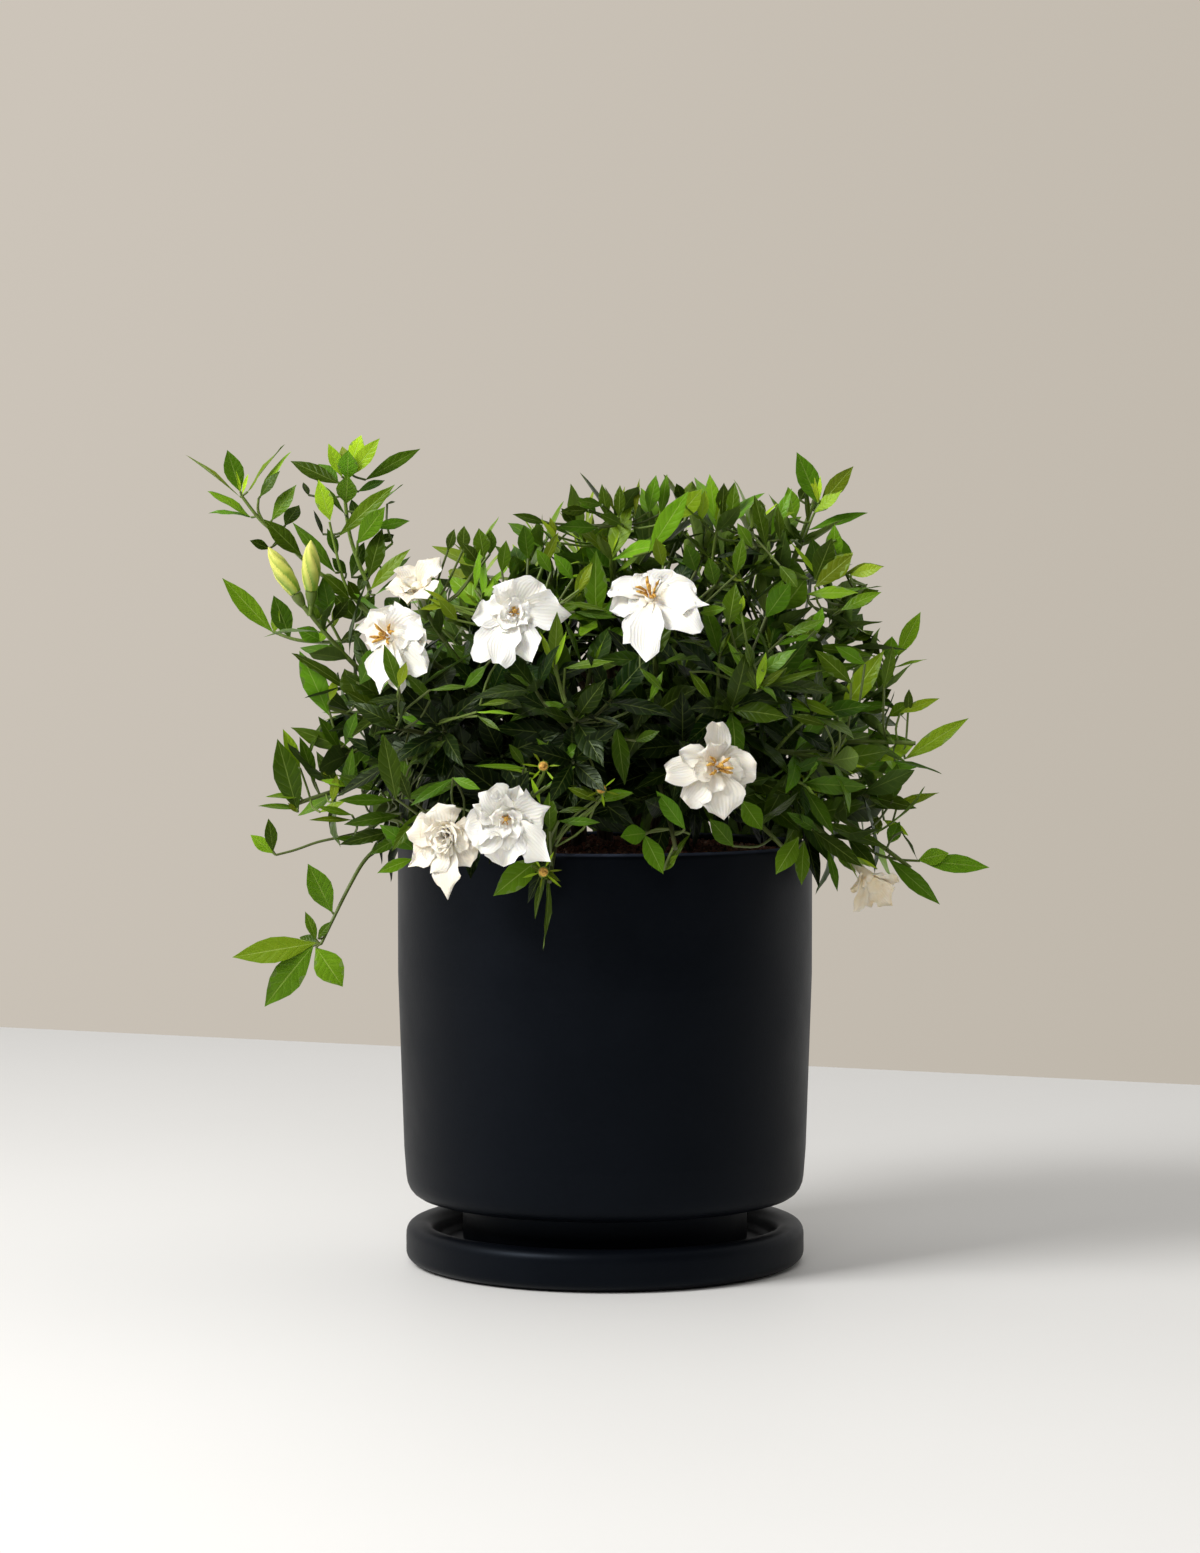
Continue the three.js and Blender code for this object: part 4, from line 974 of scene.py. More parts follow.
# Leaves that stand out one by one, as read off the photo. Each has its root and its tip in pixels,
# then its breadth in pixels, the depth of its root in mm, how much farther back its tip is, how
# fresh it is in hundredths, and how far it turns away from the front, in degrees.
singleLeaves = {
    "left_far": (
        (335, 430, 52, 165, 46, -20, 5, 80, 65), (338, 400, 265, 165, 112, -20, 3, 18, 10),
        (342, 420, 318, 285, 18, -20, -2, 100, 20), (348, 415, 377, 300, 22, -20, -2, 100, 20),
        (380, 400, 555, 118, 54, -20, -3, 62, 45), (440, 440, 580, 160, 62, -20, -4, 66, 35),
        (448, 430, 540, 285, 64, -22, -5, 12, 20), (515, 560, 640, 360, 95, -18, -4, 42, 15),
        (590, 590, 665, 465, 90, -14, 8, 14, 20), (400, 545, 175, 375, 52, -18, -6, 55, 55),
        (400, 545, 168, 470, 40, -17, 4, 30, 70), (680, 760, 480, 560, 104, -16, -12, 36, 10),
        (500, 720, 395, 672, 56, -20, -4, 5, 20), (560, 655, 500, 720, 8, -16, -4, 10, 20),
    ),
    "left_tall": (
        (960, 235, 1015, 78, 88, -12, 3, 98, 0), (925, 230, 905, 140, 50, -10, 4, 90, 0),
        (905, 315, 835, 130, 76, -11, -2, 82, 15), (950, 315, 1115, 100, 92, -12, -4, 78, 20),
        (940, 330, 938, 185, 115, -12, -8, 38, 0), (930, 465, 935, 325, 118, -12, -8, 32, 0),
        (890, 355, 615, 225, 96, -8, 6, 22, 15), (885, 350, 770, 235, 84, -6, 8, 20, 15),
        (1040, 335, 1344, 145, 84, -8, 5, 20, 20), (1000, 400, 1148, 325, 60, -6, 6, 10, 35),
        (890, 650, 1190, 355, 96, -14, -6, 50, 15), (1100, 490, 1235, 340, 44, -10, 4, 40, 55),
        (840, 560, 775, 345, 102, -20, -6, 78, 0), (925, 530, 780, 330, 52, -12, -4, 30, 45),
        (995, 690, 1140, 490, 112, -14, -8, 42, 5), (1095, 605, 1285, 548, 72, -8, 2, 30, 20),
        (1060, 880, 1120, 620, 116, -10, -8, 20, 5), (1065, 950, 1258, 725, 84, -14, -10, 60, 15),
        (1090, 980, 1340, 800, 56, -14, -8, 20, 40), (960, 880, 1030, 680, 84, -6, 4, 6, 15),
        (1000, 960, 1050, 830, 66, -8, 2, 16, 15), (880, 760, 840, 610, 60, -14, -4, 10, 30),
        (930, 860, 855, 770, 66, -12, -2, 5, 20), (1120, 680, 1200, 640, 56, -4, 4, 10, 25),
        (1000, 570, 960, 440, 66, -4, 6, 10, 15), (870, 855, 645, 575, 76, -20, -10, 24, 15),
        (990, 1120, 870, 980, 110, -8, -4, 10, 10), (980, 1130, 1090, 980, 100, -4, 6, 8, 20),
        (950, 1000, 810, 860, 80, -14, -6, 33, 25), (1150, 1060, 1230, 980, 90, -2, 8, 12, 10),
        (1180, 860, 1290, 750, 44, -2, 4, 20, 30), (1000, 1010, 940, 900, 70, -14, -8, 50, 20),
        (720, 420, 690, 345, 40, -4, 6, 12, 30), (800, 640, 750, 500, 40, -6, 6, 15, 40),
        (1160, 470, 1210, 450, 16, 2, 6, 30, 30),
    ),
    "left_mid": (
        (520, 1188, 235, 885, 108, 2, -4, 50, 0), (525, 1188, 540, 1075, 60, 2, -6, 60, 20),
        (615, 1215, 525, 985, 118, 0, -4, 10, 5), (790, 1236, 663, 1165, 92, -4, -4, 20, 10),
        (780, 1240, 818, 1165, 56, -4, -4, 52, 20), (900, 1240, 1020, 1180, 70, -6, -6, 7, 15),
        (900, 1245, 820, 1310, 64, -6, -6, 7, 15), (900, 1245, 880, 1345, 64, -4, -2, 7, 10),
        (860, 1160, 885, 1020, 52, -6, -6, 60, 20),
    ),
    "buds": (
        (830, 1075, 715, 890, 86, -46, 2, 14, 10), (840, 1085, 798, 890, 98, -46, -6, 14, 0),
        (780, 1150, 735, 1010, 50, -46, 2, 35, 30), (860, 1120, 940, 1010, 80, -40, 4, 10, 15),
    ),
    "left_hanging": (
        (332, 912, 308, 864, 25, -55, -5, 36, 5), (316, 940, 307, 912, 10, -60, -2, 30, 20),
        (318, 938, 329, 922, 9, -60, -4, 15, 20), (316, 943, 232, 957, 27, -60, -4, 62, 10),
        (313, 946, 263, 1004, 31, -60, -8, 28, 10), (316, 948, 342, 986, 30, -60, -5, 50, 5),
        (320, 944, 298, 936, 12, -58, 6, 15, 20),
    ),
    "left_shoulder": (
        (329, 715, 301, 652, 25, -38, -8, 36, 10), (352, 692, 296, 649, 10, -42, -8, 22, 40),
        (330, 700, 336, 678, 9, -40, -3, 95, 10), (357, 698, 345, 670, 23, -44, -6, 40, 5),
        (384, 714, 345, 690, 14, -60, -6, 30, 25), (397, 717, 357, 708, 10, -80, -4, 32, 45),
        (360, 684, 378, 646, 22, -66, -12, 10, 10), (340, 750, 320, 716, 14, -38, -4, 10, 30),
        (345, 745, 356, 712, 15, -44, -6, 12, 30), (399, 690, 386, 647, 15, -118, -8, 24, 10),
        (399, 686, 406, 662, 10, -120, -6, 95, 5), (403, 700, 468, 646, 8, -96, -14, 24, 50),
        (400, 716, 432, 724, 9, -86, -8, 30, 50), (372, 748, 376, 716, 14, -60, -4, 10, 30),
    ),
    "left_low": (
        (298, 812, 277, 740, 27, -30, -6, 13, 0), (300, 768, 283, 729, 13, -24, -4, 72, 10),
        (315, 782, 301, 737, 14, -28, -4, 10, 20), (308, 757, 321, 717, 9, -26, -2, 14, 35),
        (300, 797, 266, 794, 10, -30, -4, 50, 55), (298, 808, 258, 805, 10, -30, -6, 34, 45),
        (297, 812, 288, 803, 5, -31, -4, 100, 20), (338, 792, 318, 752, 14, -34, -6, 10, 15),
        (338, 788, 372, 745, 20, -36, -4, 12, 15), (332, 802, 337, 774, 9, -40, -3, 80, 10),
        (273, 853, 251, 835, 13, -38, -4, 62, 10), (273, 851, 269, 819, 13, -38, -3, 20, 15),
        (320, 812, 345, 800, 8, -40, -3, 70, 20), (398, 796, 382, 738, 26, -70, -8, 13, 0),
        (402, 787, 405, 757, 15, -76, -6, 26, 0), (402, 799, 460, 782, 14, -76, -10, 20, 20),
        (350, 786, 322, 778, 7, -40, -4, 60, 40), (415, 850, 381, 825, 19, -84, -6, 20, 10),
        (412, 859, 379, 870, 12, -96, -8, 45, 20), (398, 830, 340, 842, 13, -62, -8, 8, 20),
        (400, 815, 345, 822, 13, -66, -8, 12, 20), (392, 800, 338, 800, 13, -62, -8, 14, 15),
        (380, 790, 340, 775, 12, -58, -8, 12, 10), (372, 842, 335, 838, 10, -50, -8, 8, 30),
        (405, 835, 370, 852, 12, -72, -8, 10, 15), (352, 815, 318, 806, 8, -46, -8, 45, 20),
        (352, 820, 310, 818, 7, -46, -8, 55, 30), (420, 812, 392, 850, 12, -84, -8, 30, 5),
        (346, 790, 352, 750, 12, -46, -8, 14, 0), (362, 790, 388, 752, 11, -56, -8, 16, 5),
    ),
    "right_tall": (
        (819, 504, 797, 452, 23, -5, -3, 28, 5), (818, 502, 811, 468, 6, -6, -2, 100, 10),
        (819, 500, 820, 476, 5, -6, -2, 100, 10), (820, 505, 853, 466, 17, -5, -6, 72, 15),
        (815, 512, 841, 489, 14, -5, -6, 80, 20), (808, 530, 868, 511, 11, -4, 2, 20, 45),
        (795, 519, 788, 487, 17, -6, -4, 52, 0), (808, 523, 806, 484, 8, -4, 2, 50, 30),
        (803, 540, 775, 518, 12, -4, 2, 10, 30), (800, 500, 808, 485, 12, 0, 4, 10, 20),
        (816, 512, 825, 498, 16, 0, 5, 12, 20), (820, 583, 812, 538, 24, -12, -6, 14, 0),
        (824, 585, 832, 545, 22, -14, -4, 14, 10), (833, 565, 835, 525, 18, -10, -4, 48, 0),
        (844, 570, 840, 535, 20, -6, 2, 30, 15), (803, 540, 822, 527, 8, -4, -2, 10, 45),
        (776, 545, 800, 530, 16, 0, -4, 30, 20), (790, 541, 821, 579, 4, -20, -4, 90, 20),
        (770, 560, 806, 575, 22, -16, -8, 20, 15), (782, 610, 806, 578, 28, -20, -6, 36, 5),
        (776, 612, 782, 580, 22, -26, -4, 30, 10),
    ),
    "right_upper": (
        (822, 582, 852, 553, 22, -16, -6, 78, 5), (846, 573, 884, 565, 14, -12, -2, 82, 15),
        (808, 600, 880, 580, 10, -16, -6, 42, 40), (846, 606, 879, 589, 17, -14, 2, 30, 15),
        (838, 605, 868, 583, 12, -12, 4, 60, 30), (802, 640, 823, 611, 18, -30, -6, 34, 10),
        (802, 640, 786, 622, 10, -30, -4, 40, 25), (840, 640, 843, 622, 16, -10, 2, 15, 20),
        (855, 640, 874, 630, 12, -8, 2, 50, 20), (771, 535, 790, 489, 13, -30, -5, 45, 10),
        (780, 540, 778, 507, 10, -34, -5, 30, 0), (815, 587, 851, 554, 19, -60, -5, 75, 10),
        (851, 575, 881, 566, 13, -40, -9, 90, 20), (808, 594, 857, 590, 16, -66, -9, 55, 25),
        (841, 610, 879, 590, 14, -56, -5, 50, 20), (815, 580, 832, 538, 22, -46, -5, 18, 5),
        (766, 617, 790, 583, 22, -88, -5, 14, 5), (780, 566, 797, 586, 14, -70, -9, 30, 10),
        (815, 631, 822, 610, 12, -76, -5, 45, 0), (785, 636, 823, 618, 12, -84, -5, 30, 20),
    ),
    "right_mid": (
        (898, 656, 920, 612, 16, 0, -4, 55, 10), (889, 662, 892, 637, 17, -4, -4, 42, 5),
        (895, 667, 927, 657, 5, -2, -2, 60, 30), (841, 712, 882, 653, 23, -30, -10, 66, 5),
        (874, 656, 812, 645, 14, -20, -6, 30, 20), (868, 662, 770, 682, 13, -30, -14, 16, 20),
        (880, 690, 890, 665, 18, -6, -4, 40, 10), (872, 700, 891, 689, 14, -10, -2, 50, 15),
        (880, 655, 862, 634, 13, -8, 2, 20, 20), (838, 716, 770, 697, 8, -30, -16, 40, 40),
        (840, 712, 893, 702, 10, -20, 0, 20, 35),
    ),
    "right_arrow": (
        (908, 713, 909, 689, 9, -22, -2, 42, 10), (900, 713, 938, 697, 11, -22, -4, 82, 15),
        (889, 716, 910, 702, 13, -20, -2, 50, 15), (905, 759, 966, 718, 18, -26, -8, 68, 10),
        (880, 761, 914, 742, 15, -24, -4, 75, 15), (895, 761, 943, 767, 7, -26, -4, 14, 45),
        (893, 800, 897, 764, 16, -28, -4, 15, 5), (870, 735, 915, 741, 7, -20, -2, 30, 50),
        (888, 760, 870, 728, 18, -20, -2, 30, 10), (835, 727, 790, 717, 12, -34, -10, 35, 25),
        (838, 728, 818, 668, 11, -36, -12, 10, 40),
    ),
    "right_low": (
        (888, 808, 938, 791, 11, 0, -6, 85, 20), (822, 797, 868, 789, 19, -30, -10, 14, 10),
        (803, 777, 819, 806, 9, -44, -8, 92, 10), (803, 776, 790, 773, 7, -44, -4, 85, 20),
        (876, 815, 878, 834, 12, -10, -4, 50, 10), (884, 820, 908, 833, 10, -10, -6, 95, 20),
        (889, 843, 899, 822, 15, -12, -4, 30, 20), (858, 800, 900, 806, 12, -14, -6, 14, 30),
        (830, 780, 850, 783, 9, -24, -4, 85, 10), (815, 780, 790, 798, 14, -50, -8, 15, 20),
        (880, 780, 905, 775, 8, -6, -2, 70, 30),
    ),
    "right_lowest": (
        (920, 861, 989, 866, 19, -54, -8, 42, 15), (919, 860, 948, 853, 17, -54, -6, 52, 10),
        (887, 847, 822, 822, 15, -56, -14, 20, 15), (888, 858, 940, 904, 17, -54, -10, 20, 10),
        (848, 838, 877, 868, 16, -50, -8, 10, 10), (812, 830, 862, 865, 17, -76, -14, 14, 10),
        (902, 832, 921, 860, 6, -40, 0, 20, 40), (820, 832, 790, 812, 12, -70, -10, 12, 20),
    ),
    "front_right_drop": (
        (798, 838, 776, 874, 21, -112, -8, 42, 10), (804, 842, 800, 883, 15, -108, -6, 30, 15),
        (742, 801, 762, 829, 21, -118, -6, 26, 5), (733, 846, 711, 820, 19, -112, -6, 16, 10),
        (828, 850, 839, 891, 9, -80, -4, 10, 20),
    ),
    "front_middle_drop": (
        (646, 833, 622, 836, 20, -118, -8, 22, 10), (644, 835, 663, 872, 20, -118, -10, 24, 10),
        (685, 829, 657, 792, 17, -124, -6, 24, 0), (690, 834, 664, 866, 6, -118, -6, 30, 30),
        (664, 870, 675, 856, 9, -118, -6, 50, 20),
    ),
    "front_left_drop": (
        (540, 858, 494, 894, 26, -126, -8, 36, 10), (549, 872, 549, 949, 11, -124, -8, 42, 35),
        (547, 860, 549, 795, 19, -120, -10, 22, 5), (531, 866, 560, 880, 9, -128, -6, 60, 20),
        (545, 872, 532, 918, 9, -126, -4, 20, 40), (541, 775, 478, 764, 6, -120, -10, 62, 40),
        (552, 784, 580, 760, 5, -124, -8, 70, 40), (531, 778, 541, 803, 5, -126, -4, 80, 20),
        (543, 762, 546, 741, 5, -122, -4, 50, 30), (600, 796, 632, 792, 9, -124, -8, 42, 20),
        (597, 795, 570, 785, 8, -124, -6, 45, 20), (565, 765, 600, 748, 10, -116, -8, 20, 20),
    ),
    "front_left_face": (
        (408, 765, 445, 740, 14, -100, -8, 12, 20), (430, 700, 410, 676, 12, -108, -8, 20, 20),
        (396, 799, 383, 734, 22, -128, -6, 20, 0), (454, 778, 410, 804, 11, -126, -6, 10, 20),
        (453, 778, 480, 789, 10, -128, -6, 35, 15), (457, 620, 440, 600, 13, -112, -6, 65, 10),
        (452, 606, 425, 588, 6, -108, -4, 90, 30), (452, 609, 428, 598, 6, -108, -4, 95, 30),
        (450, 605, 421, 606, 7, -108, -6, 90, 30), (410, 800, 398, 770, 12, -120, -6, 12, 0),
        (430, 690, 470, 684, 8, -118, -8, 20, 30),
    ),
    "front_face": (
        (555, 664, 557, 612, 15, -128, -8, 50, 0), (554, 669, 543, 633, 6, -128, -6, 75, 20),
        (555, 667, 565, 632, 5, -128, -6, 70, 20), (565, 668, 612, 659, 11, -128, -10, 45, 25),
        (464, 689, 485, 666, 12, -122, -8, 12, 10), (477, 712, 519, 711, 7, -122, -10, 60, 40),
        (480, 705, 512, 700, 6, -122, -12, 50, 40), (478, 716, 500, 730, 6, -122, -8, 40, 30),
        (544, 702, 568, 709, 8, -128, -6, 35, 20), (616, 724, 626, 784, 19, -132, -6, 8, 10),
        (636, 741, 658, 731, 11, -130, -6, 14, 20), (561, 761, 594, 732, 15, -130, -8, 15, 10),
        (526, 768, 474, 765, 8, -128, -6, 42, 35), (524, 765, 509, 744, 10, -128, -4, 14, 10),
        (554, 759, 538, 739, 8, -130, -4, 25, 10), (546, 786, 582, 759, 5, -130, -6, 45, 30),
        (597, 801, 569, 786, 9, -132, -4, 52, 20), (600, 801, 632, 792, 9, -132, -6, 48, 25),
        (550, 831, 549, 795, 15, -136, -6, 20, 0), (559, 821, 600, 822, 9, -132, -6, 14, 25),
        (558, 812, 587, 806, 7, -132, -6, 20, 30), (564, 603, 609, 606, 8, -118, -8, 35, 35),
        (575, 612, 616, 616, 9, -118, -6, 8, 20), (579, 590, 591, 564, 8, -108, -4, 85, 10),
        (650, 700, 662, 672, 9, -124, -4, 30, 10), (690, 672, 712, 700, 10, -126, -6, 40, 10),
        (640, 668, 664, 690, 9, -126, -6, 22, 20),
    ),
    "top_4": (
        (607, 517, 602, 485, 12, -34, -5, 30, 0), (619, 517, 620, 486, 12, -36, -5, 45, 0),
        (635, 514, 638, 479, 7, -34, -5, 95, 20), (649, 512, 656, 476, 15, -32, -5, 35, 0),
        (588, 510, 562, 511, 11, -40, -9, 30, 10), (602, 505, 579, 500, 10, -40, -9, 30, 10),
        (621, 524, 602, 514, 12, -48, -9, 35, 15), (649, 552, 687, 491, 22, -62, -5, 50, 10),
        (661, 514, 667, 475, 12, -28, -5, 30, 0), (663, 566, 656, 538, 14, -78, -5, 70, 5),
        (682, 500, 677, 485, 11, -24, -9, 25, 0),
    ),
    "top_5": (
        (677, 519, 701, 489, 20, -44, -5, 70, 10), (701, 521, 705, 490, 12, -42, -5, 85, 0),
        (715, 519, 710, 475, 16, -34, -5, 55, 0), (722, 517, 724, 483, 15, -34, -5, 40, 0),
        (731, 524, 735, 484, 14, -36, -5, 35, 0), (696, 571, 687, 545, 18, -86, -5, 14, 10),
        (715, 585, 710, 559, 16, -92, -5, 14, 10), (736, 575, 743, 538, 14, -80, -5, 30, 0),
        (752, 547, 738, 524, 12, -60, -5, 40, 0), (766, 547, 757, 496, 14, -40, -5, 20, 10),
    ),
    "top_2": (
        (502, 572, 506, 541, 13, -84, -5, 35, 0), (528, 559, 524, 525, 17, -66, -5, 20, 0),
        (555, 536, 551, 519, 7, -50, -5, 100, 10), (560, 543, 542, 519, 6, -52, -5, 95, 20),
        (546, 523, 513, 514, 10, -40, -9, 20, 15), (575, 523, 564, 511, 12, -40, -9, 35, 0),
        (598, 528, 560, 525, 14, -50, -9, 12, 15), (596, 514, 580, 498, 12, -36, -5, 25, 0),
        (542, 568, 558, 532, 10, -84, -5, 70, 15), (551, 572, 537, 550, 12, -88, -5, 45, 0),
        (573, 579, 555, 554, 14, -92, -5, 40, 10), (575, 595, 591, 563, 13, -100, -5, 70, 0),
    ),
    "top_1": (
        (448, 550, 454, 530, 10, -64, -5, 20, 0), (463, 550, 464, 527, 14, -66, -5, 35, 0),
        (484, 557, 479, 530, 17, -70, -5, 40, 0), (490, 554, 490, 530, 13, -66, -5, 30, 0),
        (479, 563, 463, 543, 12, -76, -5, 30, 10), (475, 590, 479, 550, 8, -92, -5, 50, 10),
    ),
    "front_right_face": (
        (757, 690, 729, 641, 9, -124, -5, 30, 10), (757, 690, 740, 650, 8, -126, -5, 25, 10),
        (757, 690, 766, 653, 9, -126, -5, 70, 0), (757, 690, 715, 660, 8, -124, -5, 30, 20),
        (757, 690, 785, 668, 8, -124, -5, 55, 20), (757, 690, 820, 665, 10, -120, -5, 35, 25),
        (729, 625, 735, 585, 20, -108, -5, 30, 5), (741, 612, 743, 596, 6, -108, -5, 80, 10),
        (701, 613, 724, 608, 10, -114, -9, 40, 15), (837, 716, 794, 697, 12, -100, -5, 50, 20),
        (825, 725, 794, 714, 10, -104, -9, 40, 20), (851, 683, 818, 650, 17, -84, -5, 35, 10),
        (865, 664, 837, 646, 14, -66, -5, 40, 10), (884, 688, 893, 646, 13, -56, -5, 35, 5),
    ),
}
# Thin stems that bend, each through points in pixels across and down and mm of depth.
bentStems = {
    "left_far": (
        (
            (930, 950, -9), (800, 870, -11), (700, 790, -12),
            (560, 655, -15), (450, 560, -18), (345, 425, -20),
        ),
        ((475, 580, -17), (438, 510, -18), (440, 440, -20)),
    ),
    "left_tall": (
        (
            (1045, 1090, -5), (1062, 960, -6), (1000, 800, -7), (950, 640, -8),
            (928, 480, -9), (920, 345, -10), (945, 270, -11),
        ),
        ((1020, 1085, -12), (930, 930, -16), (870, 720, -18), (837, 570, -20)),
        ((985, 760, -8), (995, 680, -12)),
        ((1020, 850, -6), (1110, 760, -4), (1190, 690, -2)),
    ),
    "left_mid": (
        (
            (1060, 1190, -8), (980, 1215, -6), (900, 1242, -3),
            (760, 1242, 0), (640, 1228, 0), (520, 1185, 2),
        ),
        ((890, 1225, -3), (850, 1150, -6), (800, 1090, -8)),
    ),
    "left_hanging": (
        (
            (400, 835, -30), (385, 842, -36), (365, 860, -42),
            (350, 885, -49), (335, 915, -55), (321, 944, -60),
        ),
    ),
    "left_shoulder": (
        ((395, 752, -32), (352, 752, -34), (341, 750, -36), (333, 725, -38), (329, 710, -38)),
        ((425, 760, -60), (403, 728, -74), (399, 712, -84), (399, 698, -100)),
    ),
    "left_low": (
        (
            (414, 770, -24), (390, 809, -27), (368, 829, -30), (345, 836, -32),
            (318, 842, -34), (295, 850, -36), (276, 855, -38),
        ),
    ),
    "right_tall": (
        ((776, 575, 0), (795, 560, -2), (803, 542, -3), (812, 518, -4), (820, 503, -5)),
        ((795, 560, -2), (812, 560, -6), (826, 545, -10), (836, 540, -12)),
    ),
    "right_lowest": (
        ((850, 835, -40), (872, 851, -46), (895, 859, -50), (920, 861, -54)),
    ),
}


# The cups of dropped flowers, each on a thin stalk of its spray.
spentCups = {
    "front_face": ((-30, -131, 262), (-2, -131, 251)),
    "front_left_drop": ((-30, -133, 211),),
}


# The first seed of each kind and the step to the next one, and what is added for more leaves.
seeds = {
    "leafy": (101, 37), "flowering": (5003, 41), "buds": (907, 0), "twigs": (7001, 13), "blooms": (31, 17),
    "finerLeaves": 50000, "singleLeaves": 90000,
}


def seedOf(kind, i=0):
    first, step = seeds[kind]
    return first + step * i


# Repeatable draws from 0 to 1.
def drawsFrom(seed):
    state = seed

    def draw():
        nonlocal state
        state = (state * 1664525 + 1013904223) & 0xFFFFFFFF
        return state / 4294967296

    draw()
    draw()
    return draw


# A Bezier curve through its control points, as (point, direction) at a share of the way.
def curveOf(*controls):
    controls = [Vector(c) for c in controls]

    def at(t):
        level = controls
        while len(level) > 2:
            level = [a.lerp(b, t) for a, b in zip(level, level[1:])]
        return level[0].lerp(level[1], t), (level[1] - level[0]).normalized()

    return at


def lengthOf(curve, steps=60):
    spots = [curve(k / steps)[0] for k in range(steps + 1)]
    return sum((b - a).length for a, b in zip(spots, spots[1:]))


def planForks():
    forks = []
    for i in range(wood["outerStems"] + 1):
        isMiddle = i == wood["outerStems"]
        turn = 2 * math.pi * i / wood["outerStems"]
        x, y = (0, 0) if isMiddle else (math.cos(turn), math.sin(turn))
        height = wood["middleForkHeight"] if isMiddle else wood["forkHeight"]
        foot = Vector((wood["footCircle"] * x, wood["footCircle"] * y, 0))
        foot.z = soilHeight(foot.x, foot.y)
        at = Vector((wood["forkCircle"] * x, wood["forkCircle"] * y, height))
        rise = height - foot.z
        knee = foot.lerp(at, 0.45)
        knee.z = foot.z + 0.6 * rise
        trunk = curveOf(foot + up * 2, foot + up * (0.35 * rise), knee, at)
        forks.append({"foot": foot, "at": at, "trunk": trunk, "sprays": [], "branches": []})
    return forks


# The way from a woody stem out to a tip: its start on the wood, and the green curve after it.
def routeTo(start, tip, approach=None):
    span = tip - start
    rise = span.z / span.length
    bow = span.length * (0.12 - 0.3 * rise if rise > 0 else 0.12 - 0.42 * rise)
    control = start.lerp(tip, 0.5) + up * bow
    if approach:
        control = control.lerp(tip - approach * (0.4 * span.length), 0.5)
    leaving = (control - start).normalized()
    reach = min(max(0.26 * span.length, 16), 34)
    return start + leaving * reach, curveOf(start + leaving * reach, control, tip)


def nearestFork(forks, tip):
    return min(forks, key=lambda fork: (fork["at"] - tip).length)


def routeSprays(sprays, forks):
    for spray in sprays:
        nearestFork(forks, spray["tip"])["sprays"].append(spray)
    for fork in forks:
        fork["sprays"].sort(key=lambda spray: -spray["tip"].z)
        for k, spray in enumerate(fork["sprays"]):
            start = fork["trunk"](1 - wood["branchSpacing"] * k)[0]
            branchEnd, spray["curve"] = routeTo(start, spray["tip"], spray["approach"])
            fork["branches"].append((start, branchEnd))


# ------------------------------------------------ leaves and stems as one tree of nodes

leafShape = {
    "stations": (0.1, 0.22, 0.36, 0.52, 0.68, 0.82, 0.93),
    "columns": (-1, -0.5, 0, 0.5, 1),
    "thickness": 0.012,
    "groove": 0.01,
}
# Width to length, how far it arches over, how far it folds up, its waves and its twist.
leafForms = [
    {"width": 0.34, "arch": 0.1, "fold": 0.4, "wave": 0.01, "twist": 0.1},
    {"width": 0.38, "arch": 0.22, "fold": 0.3, "wave": 0.016, "twist": -0.25},
    {"width": 0.3, "arch": 0.04, "fold": 0.45, "wave": 0.008, "twist": 0.35},
    {"width": 0.35, "arch": 0.34, "fold": 0.25, "wave": 0.018, "twist": -0.05},
    {"width": 0.32, "arch": 0.14, "fold": 0.35, "wave": 0.02, "twist": -0.45},
    {"width": 0.39, "arch": 0.28, "fold": 0.22, "wave": 0.012, "twist": 0.3},
    {"width": 0.28, "arch": -0.06, "fold": 0.5, "wave": 0.014, "twist": 0.05},
    {"width": 0.33, "arch": 0.42, "fold": 0.2, "wave": 0.022, "twist": 0.55},
    {"width": 0.13, "arch": -0.1, "fold": 0.5, "wave": 0, "twist": 0},
]
tipForm, sepalForm = 6, 8  # the forms that the tips of stems and the sepals of cups have


# A leaf of length 1 along X that looks up along Z.
def leafMesh(name, form):
    phase = 1.7 * len(name) + 9 * form["twist"]

    def rowAt(t):
        half = form["width"] / 2 * math.sin(math.pi * t ** 1.05) ** 1.12
        top, low = [], []
        for v in leafShape["columns"]:
            across = v * half
            wave = form["wave"] * v * abs(v) * math.sin(11 * t + phase + (1.9 if v > 0 else 0))
            lift = -form["arch"] * t * t + form["fold"] * t * abs(across) * (1 - 0.35 * abs(v)) + wave
            turn = form["twist"] * t
            y, z = across * math.cos(turn), lift + across * math.sin(turn)
            thick = leafShape["thickness"] * (1 - v * v) * (0.35 + math.sin(math.pi * t))
            dip = leafShape["groove"] * (v == 0) * math.sin(math.pi * t)
            top.append((t, y, z + thick / 2 - dip))
            low.append((t, y, z - thick / 2 - dip))
        return top, low

    rows = [rowAt(t) for t in leafShape["stations"]]
    base, tip = (0, 0, 0), (1, 0, -form["arch"])
    points, faces, under, tops, lows = blankMesh(base, *zip(*rows), tip)
    mesh = bpy.data.meshes.new(name)
    mesh.from_pydata(points, [], faces)
    columns = leafShape["columns"]
    uvOf = {0: (0, 0.5), 1: (1, 0.5)}
    for t, top, low in zip(leafShape["stations"], tops, lows):
        for ids in (top, low):
            for v, vertex in zip(columns, ids):
                uvOf[vertex] = (t, 0.5 + v / 2)
    giveUvs(mesh, uvOf)
    giveAttribute(mesh, "underside", "FLOAT", "FACE", under)
    facesOut(mesh)
    creaseRims(mesh, {v for top in tops for v in (top[0], top[-1])} | {0, 1})
    return mesh


